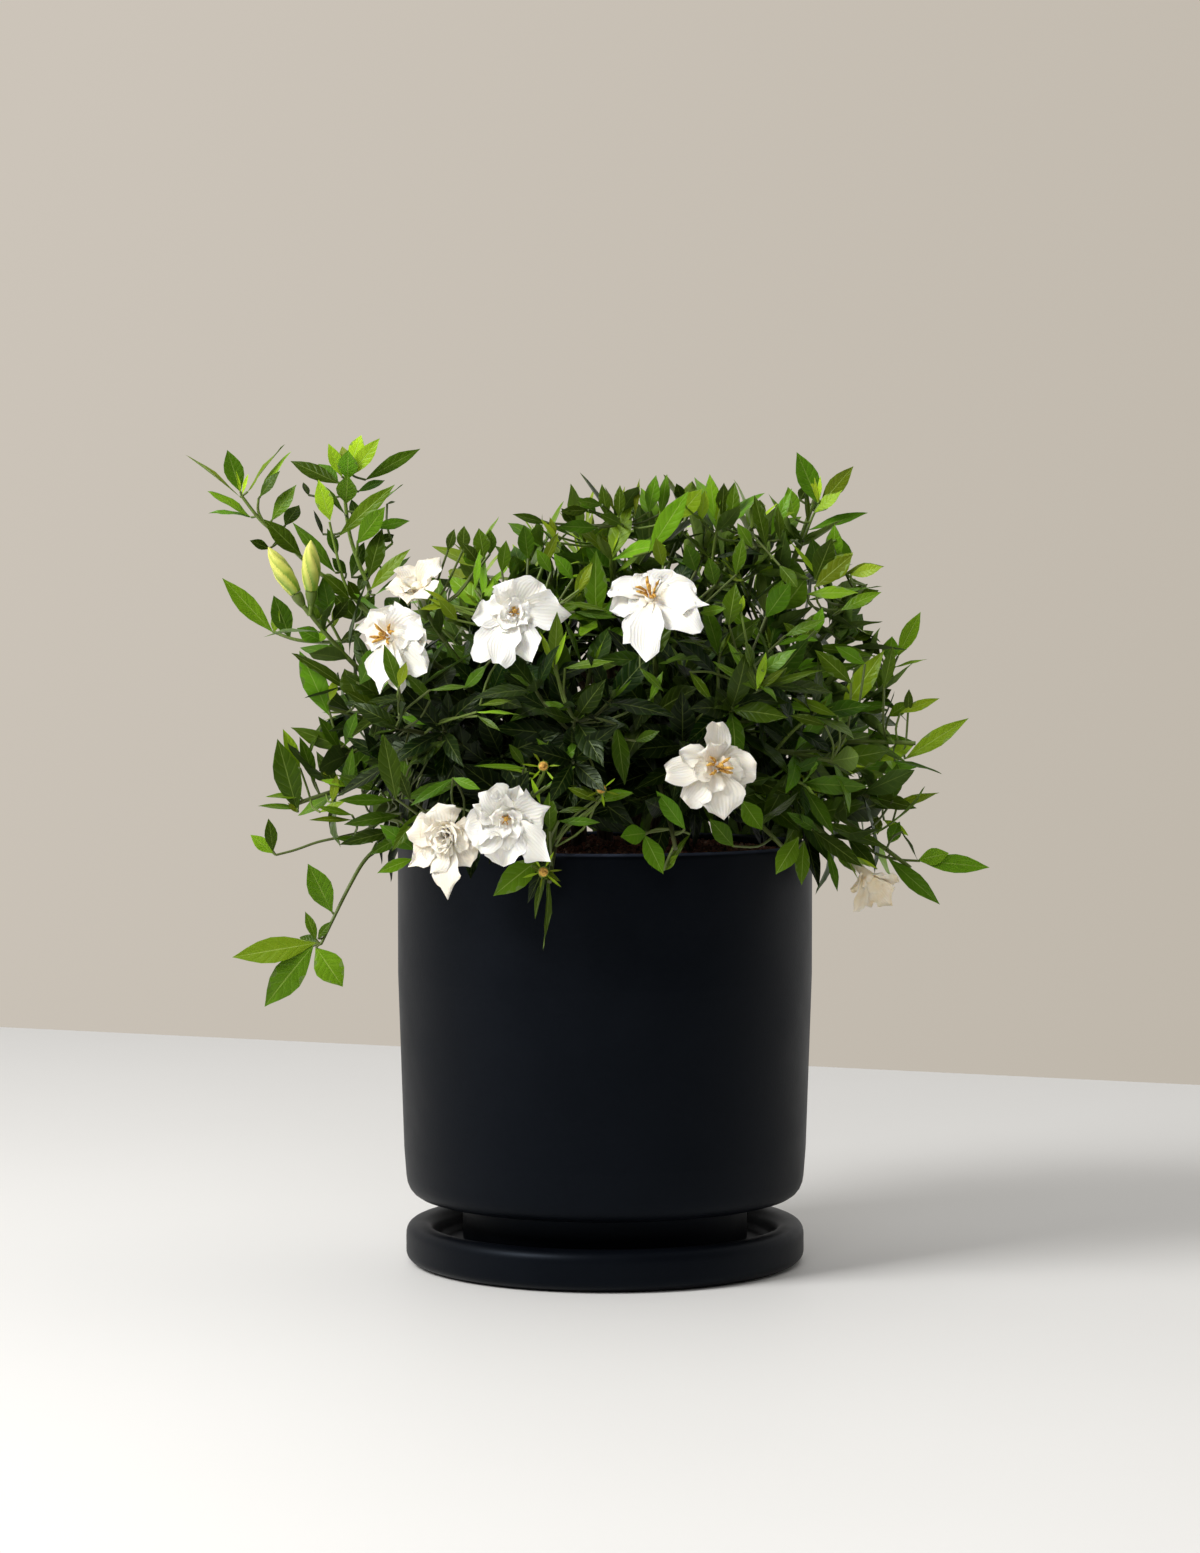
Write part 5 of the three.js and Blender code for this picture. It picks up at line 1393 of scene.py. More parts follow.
def leafShapes():
    shapes = bpy.data.collections.new("leafShapes")
    for k, form in enumerate(leafForms):
        name = f"leafShape{k}"
        shapes.objects.link(bpy.data.objects.new(name, leafMesh(name, form)))
    return shapes


# Turns a sketch of a plant into the plant: its edges become stems as thick as their girth, and
# its loose points that have a leafLength become leaves.
def plantTree():
    tree, given, result = newTree("growPlant", {
        "Leaf Shapes": ("Collection", None),
        "Leaf Scale": ("Float", 1.0),
        "Stem Sides": ("Int", 7),
        "Bark": ("Material", None),
        "Green Stem": ("Material", None),
        "Leaf": ("Material", None),
    })

    def stored(name, kind="FLOAT"):
        node = addNode(tree, "GeometryNodeInputNamedAttribute", {"Name": name}, data_type=kind)
        return node.outputs[0]

    def isOver(name, limit):
        node = addNode(tree, "FunctionNodeCompare", {0: stored(name), 1: limit}, operation="GREATER_THAN")
        return node.outputs[0]

    isLeaf = isOver("leafLength", 0.0)
    parts = addNode(tree, "GeometryNodeSeparateGeometry", {
        "Geometry": given["Geometry"], "Selection": isLeaf,
    }, domain="POINT")
    line = addNode(tree, "GeometryNodeMeshToCurve", {"Mesh": parts.outputs[1]})
    circle = addNode(tree, "GeometryNodeCurvePrimitiveCircle", {
        "Resolution": given["Stem Sides"], "Radius": 1.0,
    })
    tube = addNode(tree, "GeometryNodeCurveToMesh", {
        "Curve": line.outputs[0], "Profile Curve": circle.outputs[0], "Scale": stored("girth"),
        "Fill Caps": True,
    })
    shapes = addNode(tree, "GeometryNodeCollectionInfo", {
        "Collection": given["Leaf Shapes"], "Separate Children": True, "Reset Children": True,
    })
    aim = addNode(tree, "FunctionNodeAxesToRotation", {
        "Primary Axis": stored("direction", "FLOAT_VECTOR"),
        "Secondary Axis": stored("faceUp", "FLOAT_VECTOR"),
    }, primary_axis="X", secondary_axis="Z")
    long = calc(tree, "MULTIPLY", stored("leafLength"), given["Leaf Scale"])
    wide = calc(tree, "MULTIPLY", long, stored("broad"))
    size = addNode(tree, "ShaderNodeCombineXYZ", {0: long, 1: wide, 2: long}).outputs[0]
    leaves = addNode(tree, "GeometryNodeInstanceOnPoints", {
        "Points": parts.outputs[0], "Instance": shapes.outputs[0], "Pick Instance": True,
        "Instance Index": stored("form", "INT"), "Rotation": aim.outputs[0], "Scale": size,
    })
    both = addNode(tree, "GeometryNodeJoinGeometry")
    tree.links.new(tube.outputs[0], both.inputs[0])
    tree.links.new(leaves.outputs[0], both.inputs[0])
    real = addNode(tree, "GeometryNodeRealizeInstances", {"Geometry": both.outputs[0]})
    finished = real
    looks = ((True, given["Green Stem"]), (isOver("woody", 0.5), given["Bark"]), (isLeaf, given["Leaf"]))
    for chosen, material in looks:
        finished = addNode(tree, "GeometryNodeSetMaterial", {
            "Geometry": finished.outputs[0], "Selection": chosen, "Material": material,
        })
    tree.links.new(finished.outputs[0], result[0])
    return tree


# What each point of a sketch tells the tree.
sketchValues = {
    "girth": "FLOAT", "woody": "FLOAT", "fresh": "FLOAT", "shade": "FLOAT", "leafLength": "FLOAT",
    "broad": "FLOAT", "form": "INT", "direction": "FLOAT_VECTOR", "faceUp": "FLOAT_VECTOR",
}


# The sketch that the tree reads. Stems are lists of (point, radius), with how woody and how fresh
# they are; the freshness also carries painted light and shade. Leaves are dictionaries, such as those from
# planLeaf.
class Sketch:
    def __init__(self):
        self.points, self.edges, self.rows = [], [], []

    def stem(self, spots, woody=0.0, fresh=0.3):
        first = len(self.points)
        for k, (point, radius) in enumerate(spots):
            self.points.append(point)
            self.rows.append((radius, woody, fresh, 0.5, 0, 1, 0, (1, 0, 0), (0, 0, 1)))
            if k:
                self.edges.append((first + k - 1, first + k))

    def leaf(self, leaf):
        self.points.append(leaf["root"])
        self.rows.append((
            0, 0, leaf["fresh"], leaf["shade"], leaf["length"], leaf["broad"], leaf["form"],
            leaf["dir"], leaf["face"],
        ))

    def mesh(self, name):
        mesh = bpy.data.meshes.new(name)
        mesh.from_pydata([tuple(metres * c for c in p) for p in self.points], self.edges, [])
        for (label, kind), values in zip(sketchValues.items(), zip(*self.rows)):
            if label in ("girth", "leafLength"):
                values = [metres * value for value in values]
            giveAttribute(mesh, label, kind, "POINT", values)
        return mesh


growPlant = plantTree()
shapesOfLeaves = leafShapes()


def growPiece(name, sketch, node):
    piece = linkPiece(name, sketch.mesh(name))
    growWith(growPlant, piece, {
        "Leaf Shapes": shapesOfLeaves,
        "Leaf Scale": 1.0,
        "Stem Sides": 8,
        "Bark": bark,
        "Green Stem": greenStem,
        "Leaf": leafMaterial,
    })
    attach(piece, rootBody)
    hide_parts(node)
    return piece


# ------------------------------------------------ leaves on a spray

def planStem(curve, sides, radii):
    chord = curve(1)[0] - curve(0)[0]
    return {
        "curve": curve, "sides": sides, "radii": radii, "reference": referenceFor(chord),
        "span": lengthOf(curve),
    }


def faceOf(plan, t, turn, i):
    point, axis = plan["curve"](t)
    out = squareTo(axis, plan["reference"], turn + 2 * math.pi * (i + 0.5) / plan["sides"])
    low, high = plan["radii"]
    radius = (low + (high - low) * t) * math.cos(math.pi / plan["sides"])
    return point + out * radius, axis, out


def planLeaf(place, lean, length, form, fresh, shade):
    root, axis, out = place
    direction = axis * math.cos(lean) + out * math.sin(lean)
    face = axis * math.sin(lean) - out * math.cos(lean)
    light = (Vector((root.x, root.y, 0)).normalized() * blade["outwardLight"] + up).normalized()
    light -= direction * light.dot(direction)
    face = (face + light * blade["lightTurn"]).normalized()
    # Painted light and shade: the leaf's freshness and its shade are scaled by how much light falls on its
    # spot, so leaves low in the front turn dark.
    lit = lightShare(root)
    fresh = (fresh + 0.45 * (shade - 0.4)) * lit
    return {
        "root": root - direction * 0.6, "dir": direction, "face": face, "length": length, "form": form,
        "broad": 1, "fresh": min(max(fresh, 0), 1), "shade": (7.31 * shade) % 1 * min(0.15 + lit, 1),
    }


# Painted light and shade: leaves and stems are made fresher and brighter on the top and the sides, where
# light falls, and older and darker low down in the front, where shade falls.
# For each way out of the plant: where the light begins, how far on it is full, and how full.
daylight = {
    "up": (270, 75, 1), "back": (-20, 60, 0.7), "right": (30, 80, 0.8), "left": (100, 50, 0.8),
    "least": 0.02, "gain": 1.5,
}


def lightShare(spot):
    def litFrom(way, distance):
        start, span, most = daylight[way]
        return min(most * ((distance - start) / span), most)

    side = litFrom("right", spot.x) if spot.x > 0 else litFrom("left", -spot.x)
    lit = max(litFrom("up", spot.z), side, litFrom("back", spot.y), 0)
    return daylight["least"] + daylight["gain"] * lit


def drawWhorl(plan, t, turn, every, lean, length, draw, tone):
    leaves = []
    for i in range(0, plan["sides"], every):
        tilt = lean + (draw() - 0.5) * 0.3
        size = length * (0.84 + 0.3 * draw())
        form = int(draw() * 4)
        fresh, shade = tone()
        form += 4 * (shade > 0.5)
        leaves.append(planLeaf(faceOf(plan, t, turn, i), tilt, size, form, fresh, shade))
    return leaves


# Small new leaves that stand up at the end of a stem.
def drawTip(plan, fresh, tone):
    leaves = []
    for i in range(3):
        shade = tone()[1]
        place = faceOf({**plan, "sides": 3}, 0.995, 2.4 * shade, i)
        form = sepalForm if i else tipForm
        leaves.append(planLeaf(place, 0.22 + 0.3 * shade, 8 + 9 * shade, form, fresh + 0.4, shade))
    return leaves


leafy = {
    "lean": (0.66, 0.2), "size": (0.76, 0.12),  # of the leaves of the top whorl, and more lower down
    "extraWhorls": 4,
    "extraLean": 0.16,
    "mostLean": 1.4,
    "shoots": 3,
    "freshLoss": 0.13,  # how much darker each whorl is than the one above it
    "lowTip": 240,  # no shoot or twig is filled in below this, where the front rim and the soil show
    "soilViews": ((-24, 9), (29, 83)),  # where no leaf hides the soil behind the front rim, in x
    "soilViewFrom": (-70, 231),  # in front of and below these, in y and z
}
# Side shoots: how many leaf spacings below the top whorl they grow and at what turn, their reach,
# where their knee and tip stand, and the leaves at their end.
shootForms = {
    "upper": {
        "below": 1.5, "turn": math.pi / 2, "reach": 0.8, "kneeOut": 0.4, "tipAlong": 0.75,
        "tipOut": 0.65, "whorlAt": 0.92, "lean": 0.72, "leafSize": 0.8,
    },
    "lower": {
        "below": 3.4, "turn": math.pi / 3 + 0.3, "reach": 0.9, "kneeOut": 0.45, "tipAlong": 0.55,
        "tipOut": 0.85, "whorlAt": 0.9, "lean": 0.8, "leafSize": 0.85,
    },
}


# A shoot that grows from a side of a stem, and the leaves at its end.
def growShoot(place, form, draw, tone):
    reach = stem["shootReach"] * (form["reach"] + 0.5 * draw())
    root, axis, out = place
    knee = root + axis * (0.3 * reach) + out * (form["kneeOut"] * reach)
    tip = root + axis * (form["tipAlong"] * reach) + out * (form["tipOut"] * reach) + up * (0.1 * reach)
    shoot = planStem(curveOf(root, knee, tip), 4, (stem["shootRadius"], 0.8 * stem["shootRadius"]))
    size = blade["length"] * form["leafSize"]
    whorl = drawWhorl(shoot, form["whorlAt"], draw() * math.pi, 1, form["lean"], size, draw, tone)
    return shoot, whorl


def growSpray(spray, sketch, isClear):
    draw = drawsFrom(spray["seed"])
    own = drawsFrom(spray["seed"] + seeds["finerLeaves"])
    flowering = spray["approach"] is not None
    plan = planStem(spray["curve"], 6 if flowering else 3, (stem["baseRadius"], stem["tipRadius"]))
    every, span = plan["sides"] // 3, plan["span"]
    last = 1 - (15 if flowering else 3) / span
    whorls = 2 if flowering else min(max(math.floor(span * 0.8 / blade["spacing"] + 0.5), 2), 3)
    firstTurn = draw() * 2 * math.pi
    leaves = []

    def toneAt(rank):
        return lambda: (spray["fresh"] - leafy["freshLoss"] * rank + 0.34 * (own() - 0.5), own())

    lean, leanStep = leafy["lean"]
    size, sizeStep = leafy["size"]
    for k in range(whorls):
        t, turn = last - k * blade["spacing"] / span, firstTurn + k * math.pi / 3
        length = blade["length"] * min(1, size + sizeStep * k)
        leaves += drawWhorl(plan, t, turn, every, lean + leanStep * k, length, draw, toneAt(k))
    upper, lower = shootForms["upper"], shootForms["lower"]
    shoots = []
    for i in range(leafy["shoots"]):
        shootAt = last - upper["below"] * blade["spacing"] / span
        place = faceOf(plan, shootAt, firstTurn + upper["turn"], i * every)
        shoots.append(growShoot(place, upper, draw, toneAt(1)))
    # The CAD part has its leaves among those so far. From here on they are this finer plant's own.
    isEdge = spray["name"] in edgeSprays
    if isEdge:
        leaves = leaves[3:]
    if isEdge or flowering:
        shoots = []
    for k in range(whorls, whorls + leafy["extraWhorls"]):
        t, turn = last - k * blade["spacing"] / span, firstTurn + k * math.pi / 3
        if t < 0.04:
            break
        extraLean = min(lean + leafy["extraLean"] * k, leafy["mostLean"])
        leaves += drawWhorl(plan, t, turn, every, extraLean, blade["length"], own, toneAt(k))
    shootAt = last - lower["below"] * blade["spacing"] / span
    if shootAt > 0.1 and spray["tip"].z > leafy["lowTip"]:
        for i in range(leafy["shoots"]):
            place = faceOf(plan, shootAt, firstTurn + lower["turn"], i * every)
            shoots.append(growShoot(place, lower, own, toneAt(2)))
    for shoot, whorl in shoots:
        leaves += whorl
        pair = {**shoot, "sides": 2}
        leaves += drawWhorl(pair, 0.5, own() * 3, 1, 0.9, blade["length"] * 0.7, own, toneAt(2))
        leaves += drawTip(shoot, spray["fresh"] - 0.1, toneAt(0))
    if not flowering and not isEdge:
        leaves += drawTip(plan, spray["fresh"] + 0.1, toneAt(0))
    # Painted shade: a stem's green is made older and darker where little light falls on its tip.
    lit = min(lightShare(spray["tip"]), 1)
    sketch.stem(stemSpots(plan, 14, early=1.2), fresh=spray["fresh"] * lit)
    for shoot, _ in shoots:
        if isClear(shoot["curve"](1)[0], 0):
            sketch.stem(stemSpots(shoot, 6), fresh=(spray["fresh"] + 0.2) * lit)
    return keepLeaves(sketch, leaves, isClear)


# Adds the leaves that have room, and says how many they are.
def keepLeaves(sketch, leaves, isClear):
    kept = [leaf for leaf in leaves if leafHasRoom(leaf, isClear)]
    for leaf in kept:
        sketch.leaf(leaf)
    return len(kept)


# A smooth path through points.
def smoothPath(points, steps=5):
    points = [Vector(p) for p in points]
    ends = [points[0] * 2 - points[1], *points, points[-1] * 2 - points[-2]]
    path = []
    for a, b, c, d in zip(ends, ends[1:], ends[2:], ends[3:]):
        for k in range(steps):
            t = k / steps
            bend = (2 * a - 5 * b + 4 * c - d) * t ** 2 + (3 * b - a - 3 * c + d) * t ** 3
            path.append(0.5 * (2 * b + (c - a) * t + bend))
    return [*path, points[-1]]


# The place of a pixel that was read for a spray, in the photo or in its close-up.
def readSpot(name, px, py, depth):
    if name in closeUp["sprays"]:
        px, py = (corner + p / closeUp["zoom"] for corner, p in zip(closeUp["corner"], (px, py)))
    return spotAt(px, py, depth)


# The stems and leaves that stand out one by one, each leaf on a stalk from the nearest stem.
def growSingleLeaves(spray, sketch):
    own = drawsFrom(spray["seed"] + seeds["singleLeaves"])
    curve, name = spray["curve"], spray["name"]
    isOpen = name in openSprays
    spots = [] if isOpen else [curve(k / 40)[0] for k in range(41)]
    for k, points in enumerate(bentStems.get(name, ())):
        points = [readSpot(name, *point) for point in points]
        if isOpen and k == 0:
            points.insert(0, curve(0)[0] - curve(0)[1] * 1.2)
        else:
            points[0] = nearest(spots, points[0])
        path = smoothPath(points)
        low, high = (1.3, 0.8) if isOpen and k == 0 else (0.9, 0.6)
        tapered = [(p, low + (high - low) * j / len(path)) for j, p in enumerate(path)]
        sketch.stem(tapered, fresh=spray["fresh"])
        spots += path
    for px, py, tipX, tipY, width, depth, lean, fresh, turned in singleLeaves.get(name, ()):
        root = readSpot(name, px, py, depth)
        reach = readSpot(name, tipX, tipY, depth + lean) - root
        breadth = (readSpot(name, px + width, py, depth) - root).length
        stalk = nearest(spots + anchors, root)
        if (stalk - root).length > 1:
            middle = (stalk + root) / 2 - reach.normalized() * 0.12 * (stalk - root).length
            growStalk(sketch, (stalk, middle, root), 0.1 + 0.6 * fresh / 100)
        sketch.leaf(planSingleLeaf(root, reach, breadth, fresh / 100, math.radians(turned), own))


def growStalk(sketch, points, fresh, radius=0.6, steps=3):
    sketch.stem([(p, radius) for p in smoothPath(points, steps)], fresh=fresh)


# The cup of a dropped flower: a thin stalk, the cup's rings, as (ahead, radius), and its sepals.
spentCup = {
    "stalkFrom": (0, 30, -14), "neck": -4, "rings": ((-4, 1.2), (-2.5, 2.2), (0, 2.8), (0.3, 2.6)),
    "sepals": 6,
}


def growSpentCup(sketch, at, seed):
    own = drawsFrom(seed)
    facing = Vector((0.2 * own() - 0.1, -1, 0.3 * own())).normalized()
    foot = nearest(anchors, at + Vector(spentCup["stalkFrom"]))
    back = at - facing * 7 - up * 3
    path = (foot, (foot + back) / 2 - up * 4, back, at + facing * spentCup["neck"])
    growStalk(sketch, path, 0.7, radius=0.75, steps=4)
    sketch.stem([(at + facing * ahead, radius) for ahead, radius in spentCup["rings"]], fresh=1.0)
    side = squareTo(facing, referenceFor(facing), own())
    for i in range(spentCup["sepals"]):
        out = Quaternion(facing, i * math.pi / 3 + 0.3 * own()) @ side
        direction = (out + facing * (0.25 + 0.4 * own())).normalized()
        sketch.leaf({
            "root": at - facing + out * 1.6, "dir": direction, "face": facing, "length": 7.5 + 4 * own(),
            "form": sepalForm, "broad": 0.9, "fresh": 0.85, "shade": own(),
        })
    cupHearts.append((at, facing))


# A leaf that faces the front, or is turned away from it.
def planSingleLeaf(root, reach, width, fresh, turned, own):
    direction, length = reach.normalized(), reach.length
    front = (toFront - direction * toFront.dot(direction)).normalized()
    high = direction.cross(front)
    high *= -1 if high.z < 0 else 1
    form = (0, 2, 4, 1)[int(own() * 4)]
    return {
        "root": root - direction * 0.6, "dir": direction, "length": length + 0.6, "form": form,
        "face": front * math.cos(turned) + high * math.sin(turned),
        "broad": width / (leafForms[form]["width"] * length), "fresh": 0.08 + 0.92 * fresh, "shade": own(),
    }


# A stem's points and radii. It starts a little early, inside the wood that it grows from.
def stemSpots(plan, steps, early=0.0):
    low, high = plan["radii"]
    spots = []
    for k in range(steps + 1):
        t = k / steps
        point, axis = plan["curve"](t)
        spots.append((point - axis * (early if k == 0 else 0), low + (high - low) * t))
    return spots


def leafHasRoom(leaf, isClear):
    arch = leafForms[leaf["form"]]["arch"]

    def spotOn(t):
        along, sag = leaf["length"] * t, arch * t * t * leaf["length"]
        return leaf["root"] + leaf["dir"] * along - leaf["face"] * sag

    return all(isClear(spotOn(t), 1.5) for t in (0.15, 0.55, 1))


# A spot is clear when it is outside the pot and soil and doesn't stand before a bloom.
def clearOf(bloomList):
    heads = []
    for bloom in bloomList:
        longest = max(length for _, length, _ in bloom["petals"])
        heads.append((Vector(bloom["at"]), Vector(bloom["facing"]).normalized(), longest * 0.85))
    front, top = leafy["soilViewFrom"]

    def isClear(spot, room):
        radius = math.hypot(spot.x, spot.y)
        if radius < pot["rimRadius"] + room and spot.z < pot["rimHeight"] + 1:
            inside = pot["rimRadius"] - pot["wall"] - room
            if radius > inside or spot.z < soilHeight(spot.x, spot.y) + room:
                return False
        if spot.z < saucer["lipHeight"] + room:
            return False
        if spot.y < front and spot.z < top and any(a < spot.x < b for a, b in leafy["soilViews"]):
            return False
        for at, facing, half in heads:
            off = spot - at
            for way, share in ((facing, 0.85), (toFront, 0.8)):
                ahead = off.dot(way)
                if ahead > -5 and (off - way * ahead).length < share * half:
                    return False
        return True

    return isClear


# ------------------------------------------------ cups under the blooms and buds

cup = {
    "rings": ((8.5, 1.1), (6.5, 1.9), (4.5, 2.6), (2.2, 3.0), (0.3, 2.9)),  # back, radius
    "sepalRadius": 2.6, "sepals": 6, "sepalLength": 13,
}


def addCup(sketch, base, axis, reference, fresh, sepalLean=0.35):
    sketch.stem([(base - axis * back, radius) for back, radius in cup["rings"]], fresh=fresh)
    plan = {
        "curve": lambda t: (base - axis * 1.2, axis), "sides": cup["sepals"],
        "radii": (cup["sepalRadius"],) * 2, "reference": reference,
    }
    for i in range(cup["sepals"]):
        shade = 0.5 + 0.4 * math.sin(5.1 * i)
        length = cup["sepalLength"] * (0.8 + 0.4 * shade)
        sketch.leaf(planLeaf(faceOf(plan, 0, 0.2 * i, i), sepalLean, length, sepalForm, fresh + 0.3, shade))


def planSpray(name, node, tip, fresh, seed, approach=None):
    return {"name": name, "node": node, "tip": tip, "fresh": fresh, "seed": seed, "approach": approach}


def planSprays():
    planned = []
    for i, (name, (tip, fresh)) in enumerate(leafySprays.items()):
        planned.append(planSpray(name, f"spray_{name}", Vector(tip), fresh, seedOf("leafy", i)))
    for i, (name, bloom) in enumerate(blooms.items()):
        facing = Vector(bloom["facing"]).normalized()
        base = Vector(bloom["at"]) - facing * bloomTube["length"]
        named = (f"bloom_{name}", f"flower_stem_{name}")
        planned.append(planSpray(*named, base, stem["flowerFresh"], seedOf("flowering", i), facing))
    tip, approach = Vector(budSpray["tip"]), Vector(budSpray["approach"]).normalized()
    planned.append(planSpray("buds", "bud_stem", tip, budSpray["fresh"], seedOf("buds"), approach))
    return planned


# The two buds stand on short stalks from opposite sides of their stem's end.
def growBudCups(plan, sketch):
    for i, bud in enumerate(buds.values()):
        axis = Vector(bud["points"]).normalized()
        root, _, out = faceOf(plan, 1 - 4 / plan["span"], 0, i * 3)
        bud["base"] = root + axis * budSpray["stalk"] + out
        sketch.stem([(root - axis, 1.1), (bud["base"] - axis * 8, 1.1)], fresh=0.6)
        addCup(sketch, bud["base"], axis, plan["reference"], 0.5, sepalLean=0.1)


forks = planForks()
sprays = planSprays()
routeSprays(sprays, forks)
isClear = clearOf(blooms.values())

leafCount = 0
cupHearts = []
closedSprays = [spray for spray in sprays if spray["name"] not in openSprays]
anchors = [spray["curve"](k / 24)[0] for spray in closedSprays for k in range(24)]
for spray in sprays:
    sketch = Sketch()
    for k, at in enumerate(spentCups.get(spray["name"], ())):
        growSpentCup(sketch, Vector(at), spray["seed"] + k)
    if spray["name"] not in openSprays:
        leafCount += growSpray(spray, sketch, isClear)
    growSingleLeaves(spray, sketch)
    plan = planStem(spray["curve"], 6, (stem["baseRadius"], stem["tipRadius"]))
    if spray["node"] == "bud_stem":
        growBudCups(plan, sketch)
    elif spray["approach"]:
        addCup(sketch, spray["tip"], spray["approach"], plan["reference"], 0.5)
    growPiece(f"leaves_{spray['name']}", sketch, spray["node"])
print("sprays grown with", leafCount, "leaves")


rimLeaves = {
    "count": 76, "seed": 821, "from": 12, "arc": 156,  # degrees round the back
    "lowest": 225, "rise": 27, "shortest": 23, "longer": 13, "broad": 1.3, "fresh": 0.3,
}


# Leaves that hang over the back of the rim, on stalks of the sprays there.
def growRimLeaves():
    r = rimLeaves
    own = drawsFrom(r["seed"])
    sketch = Sketch()
    for k in range(r["count"]):
        turn = math.radians(r["from"] + r["arc"] * (k + 0.7 * own()) / r["count"])
        out = levelWay(turn)
        along = Vector((-out.y, out.x, 0))
        root = out * (pot["rimRadius"] + 1 + 6 * own()) + up * (r["lowest"] + r["rise"] * own())
        way = out * (0.2 + 0.5 * own()) - up + along * (1.5 * own() - 0.75)
        reach = way.normalized() * (r["shortest"] + r["longer"] * own())
        foot = nearest(anchors, root)
        growStalk(sketch, (foot, (foot + root) / 2 + up * 6, root), 0.1)
        place = (root, reach.normalized(), -out)
        leaf = planLeaf(place, 0, reach.length, int(own() * sepalForm), r["fresh"], own())
        leaf["broad"] = r["broad"]
        sketch.leaf(leaf)
    growPiece("leaves_rim", sketch, "spray_back_low")


growRimLeaves()

# ------------------------------------------------ woody stems and the twigs between the sprays

twigs = {
    "between": 95,  # sprays nearer than this to each other get a twig between them
    "behindBloom": 22,
    "middle": (0, 0, 265),
    "inset": 0.86,  # how far out a twig ends, as a share of the way from the middle
    "frontInset": 0.72,  # the same, in front of the next value
    "front": -50,
    "back": 40,  # low twigs are kept behind this
    "apart": 24,
    "whorls": 3,
    "leafSize": 0.95,
    "low": ((-70, 40, 222), (-40, 62, 222), (-12, 72, 224), (18, 72, 222), (46, 60, 224), (72, 40, 222)),
}


def twigTips():
    spots = []
    for spray in closedSprays:
        if spray["node"] == "bud_stem":
            continue
        back = twigs["behindBloom"] if spray["approach"] else 0
        spots.append(spray["tip"] - (spray["approach"] or up) * back)
    tips = []
    middle = Vector(twigs["middle"])
    for a, b in combinations(spots, 2):
        if (a - b).length >= twigs["between"]:
            continue
        between = (a + b) / 2
        inset = twigs["frontInset"] if between.y < twigs["front"] else twigs["inset"]
        tip = middle + (between - middle) * inset
        isLow = tip.z < leafy["lowTip"] and tip.y < twigs["back"]
        if not isLow and all((tip - other).length > twigs["apart"] for other in tips):
            tips.append(tip)
    return tips + [Vector(tip) for tip in twigs["low"]]


def growTwig(sketch, fork, tip, seed):
    own = drawsFrom(seed)
    start = fork["trunk"](1 - 0.3 * own())[0]
    branchEnd, curve = routeTo(start, tip)
    plan = planStem(curve, 3, (stem["baseRadius"], stem["tipRadius"]))
    sketch.stem([(start, wood["branchRadius"]), (branchEnd, stem["baseRadius"])], woody=1.0)
    sketch.stem(stemSpots(plan, 10, early=1.0), fresh=0.2)
    fresh = 0.12 + 0.25 * own()
    leaves = drawTip(plan, fresh, lambda: (fresh, own()))
    turn = own() * 6
    for k in range(max(twigs["whorls"], int(plan["span"] * 0.9 / blade["spacing"]))):
        t = 1 - (3 + k * blade["spacing"]) / plan["span"]
        if t < 0.03:
            break

        def tone():
            return fresh - 0.08 * k + 0.3 * (own() - 0.5), own()

        lean, size = min(0.7 + 0.2 * k, leafy["mostLean"]), blade["length"] * twigs["leafSize"]
        leaves += drawWhorl(plan, t, turn + k * math.pi / 3, 1, lean, size, own, tone)
    return keepLeaves(sketch, leaves, isClear)


tipsOfTwigs = twigTips()
fillCount = 0
for n, fork in enumerate(forks):
    sketch = Sketch()
    bottom = fork["foot"] - up * (wood["footDepth"] - 0.3)
    trunkSpots = [(bottom, wood["footRadius"]), (fork["foot"], wood["footRadius"])]
    for k in range(1, 13):
        t = k / 12
        knob = 1 + 0.12 * noise.noise(Vector((n, 9 * t, 0)))
        radius = wood["footRadius"] + (wood["forkRadius"] - wood["footRadius"]) * t
        trunkSpots.append((fork["trunk"](t)[0], radius * knob))
    sketch.stem(trunkSpots, woody=1.0)
    for start, end in fork["branches"]:
        middle = (start.lerp(end, 0.5), wood["middleRadius"])
        sketch.stem([(start, wood["branchRadius"]), middle, (end, wood["tipRadius"])], woody=1.0)
    for k, tip in enumerate(tipsOfTwigs):
        if nearestFork(forks, tip) is fork:
            fillCount += growTwig(sketch, fork, tip, seedOf("twigs", k))
    growPiece(f"woodAndTwigs_{n + 1}", sketch, f"wood_{n + 1}")
print("wood grown with", len(tipsOfTwigs), "twigs and", fillCount, "leaves")

# ------------------------------------------------ blooms

petalShape = {"rows": 14, "columns": 9, "thickness": 0.5, "sag": 0.12, "outerLean": 1.5}
# The petals within the outer ones, from the outside in: how many, how long, and how far they lean.
hearts = {
    "open": ({"count": 5, "length": 11, "lean": 1.45},),
    "spiral": (
        {"count": 5, "length": 12.5, "lean": 1.35}, {"count": 5, "length": 9, "lean": 1.05},
        {"count": 3, "length": 6.5, "lean": 0.6},
    ),
    "ragged": ({"count": 4, "length": 13, "lean": 1.3}, {"count": 2, "length": 10, "lean": 0.9}),
    "loose": ({"count": 3, "length": 9, "lean": 0.9},),
    "rose": (
        {"count": 6, "length": 11.5, "lean": 1.05}, {"count": 6, "length": 10, "lean": 0.7},
        {"count": 5, "length": 8.5, "lean": 0.4}, {"count": 3, "length": 8, "lean": 0.12},
    ),
}


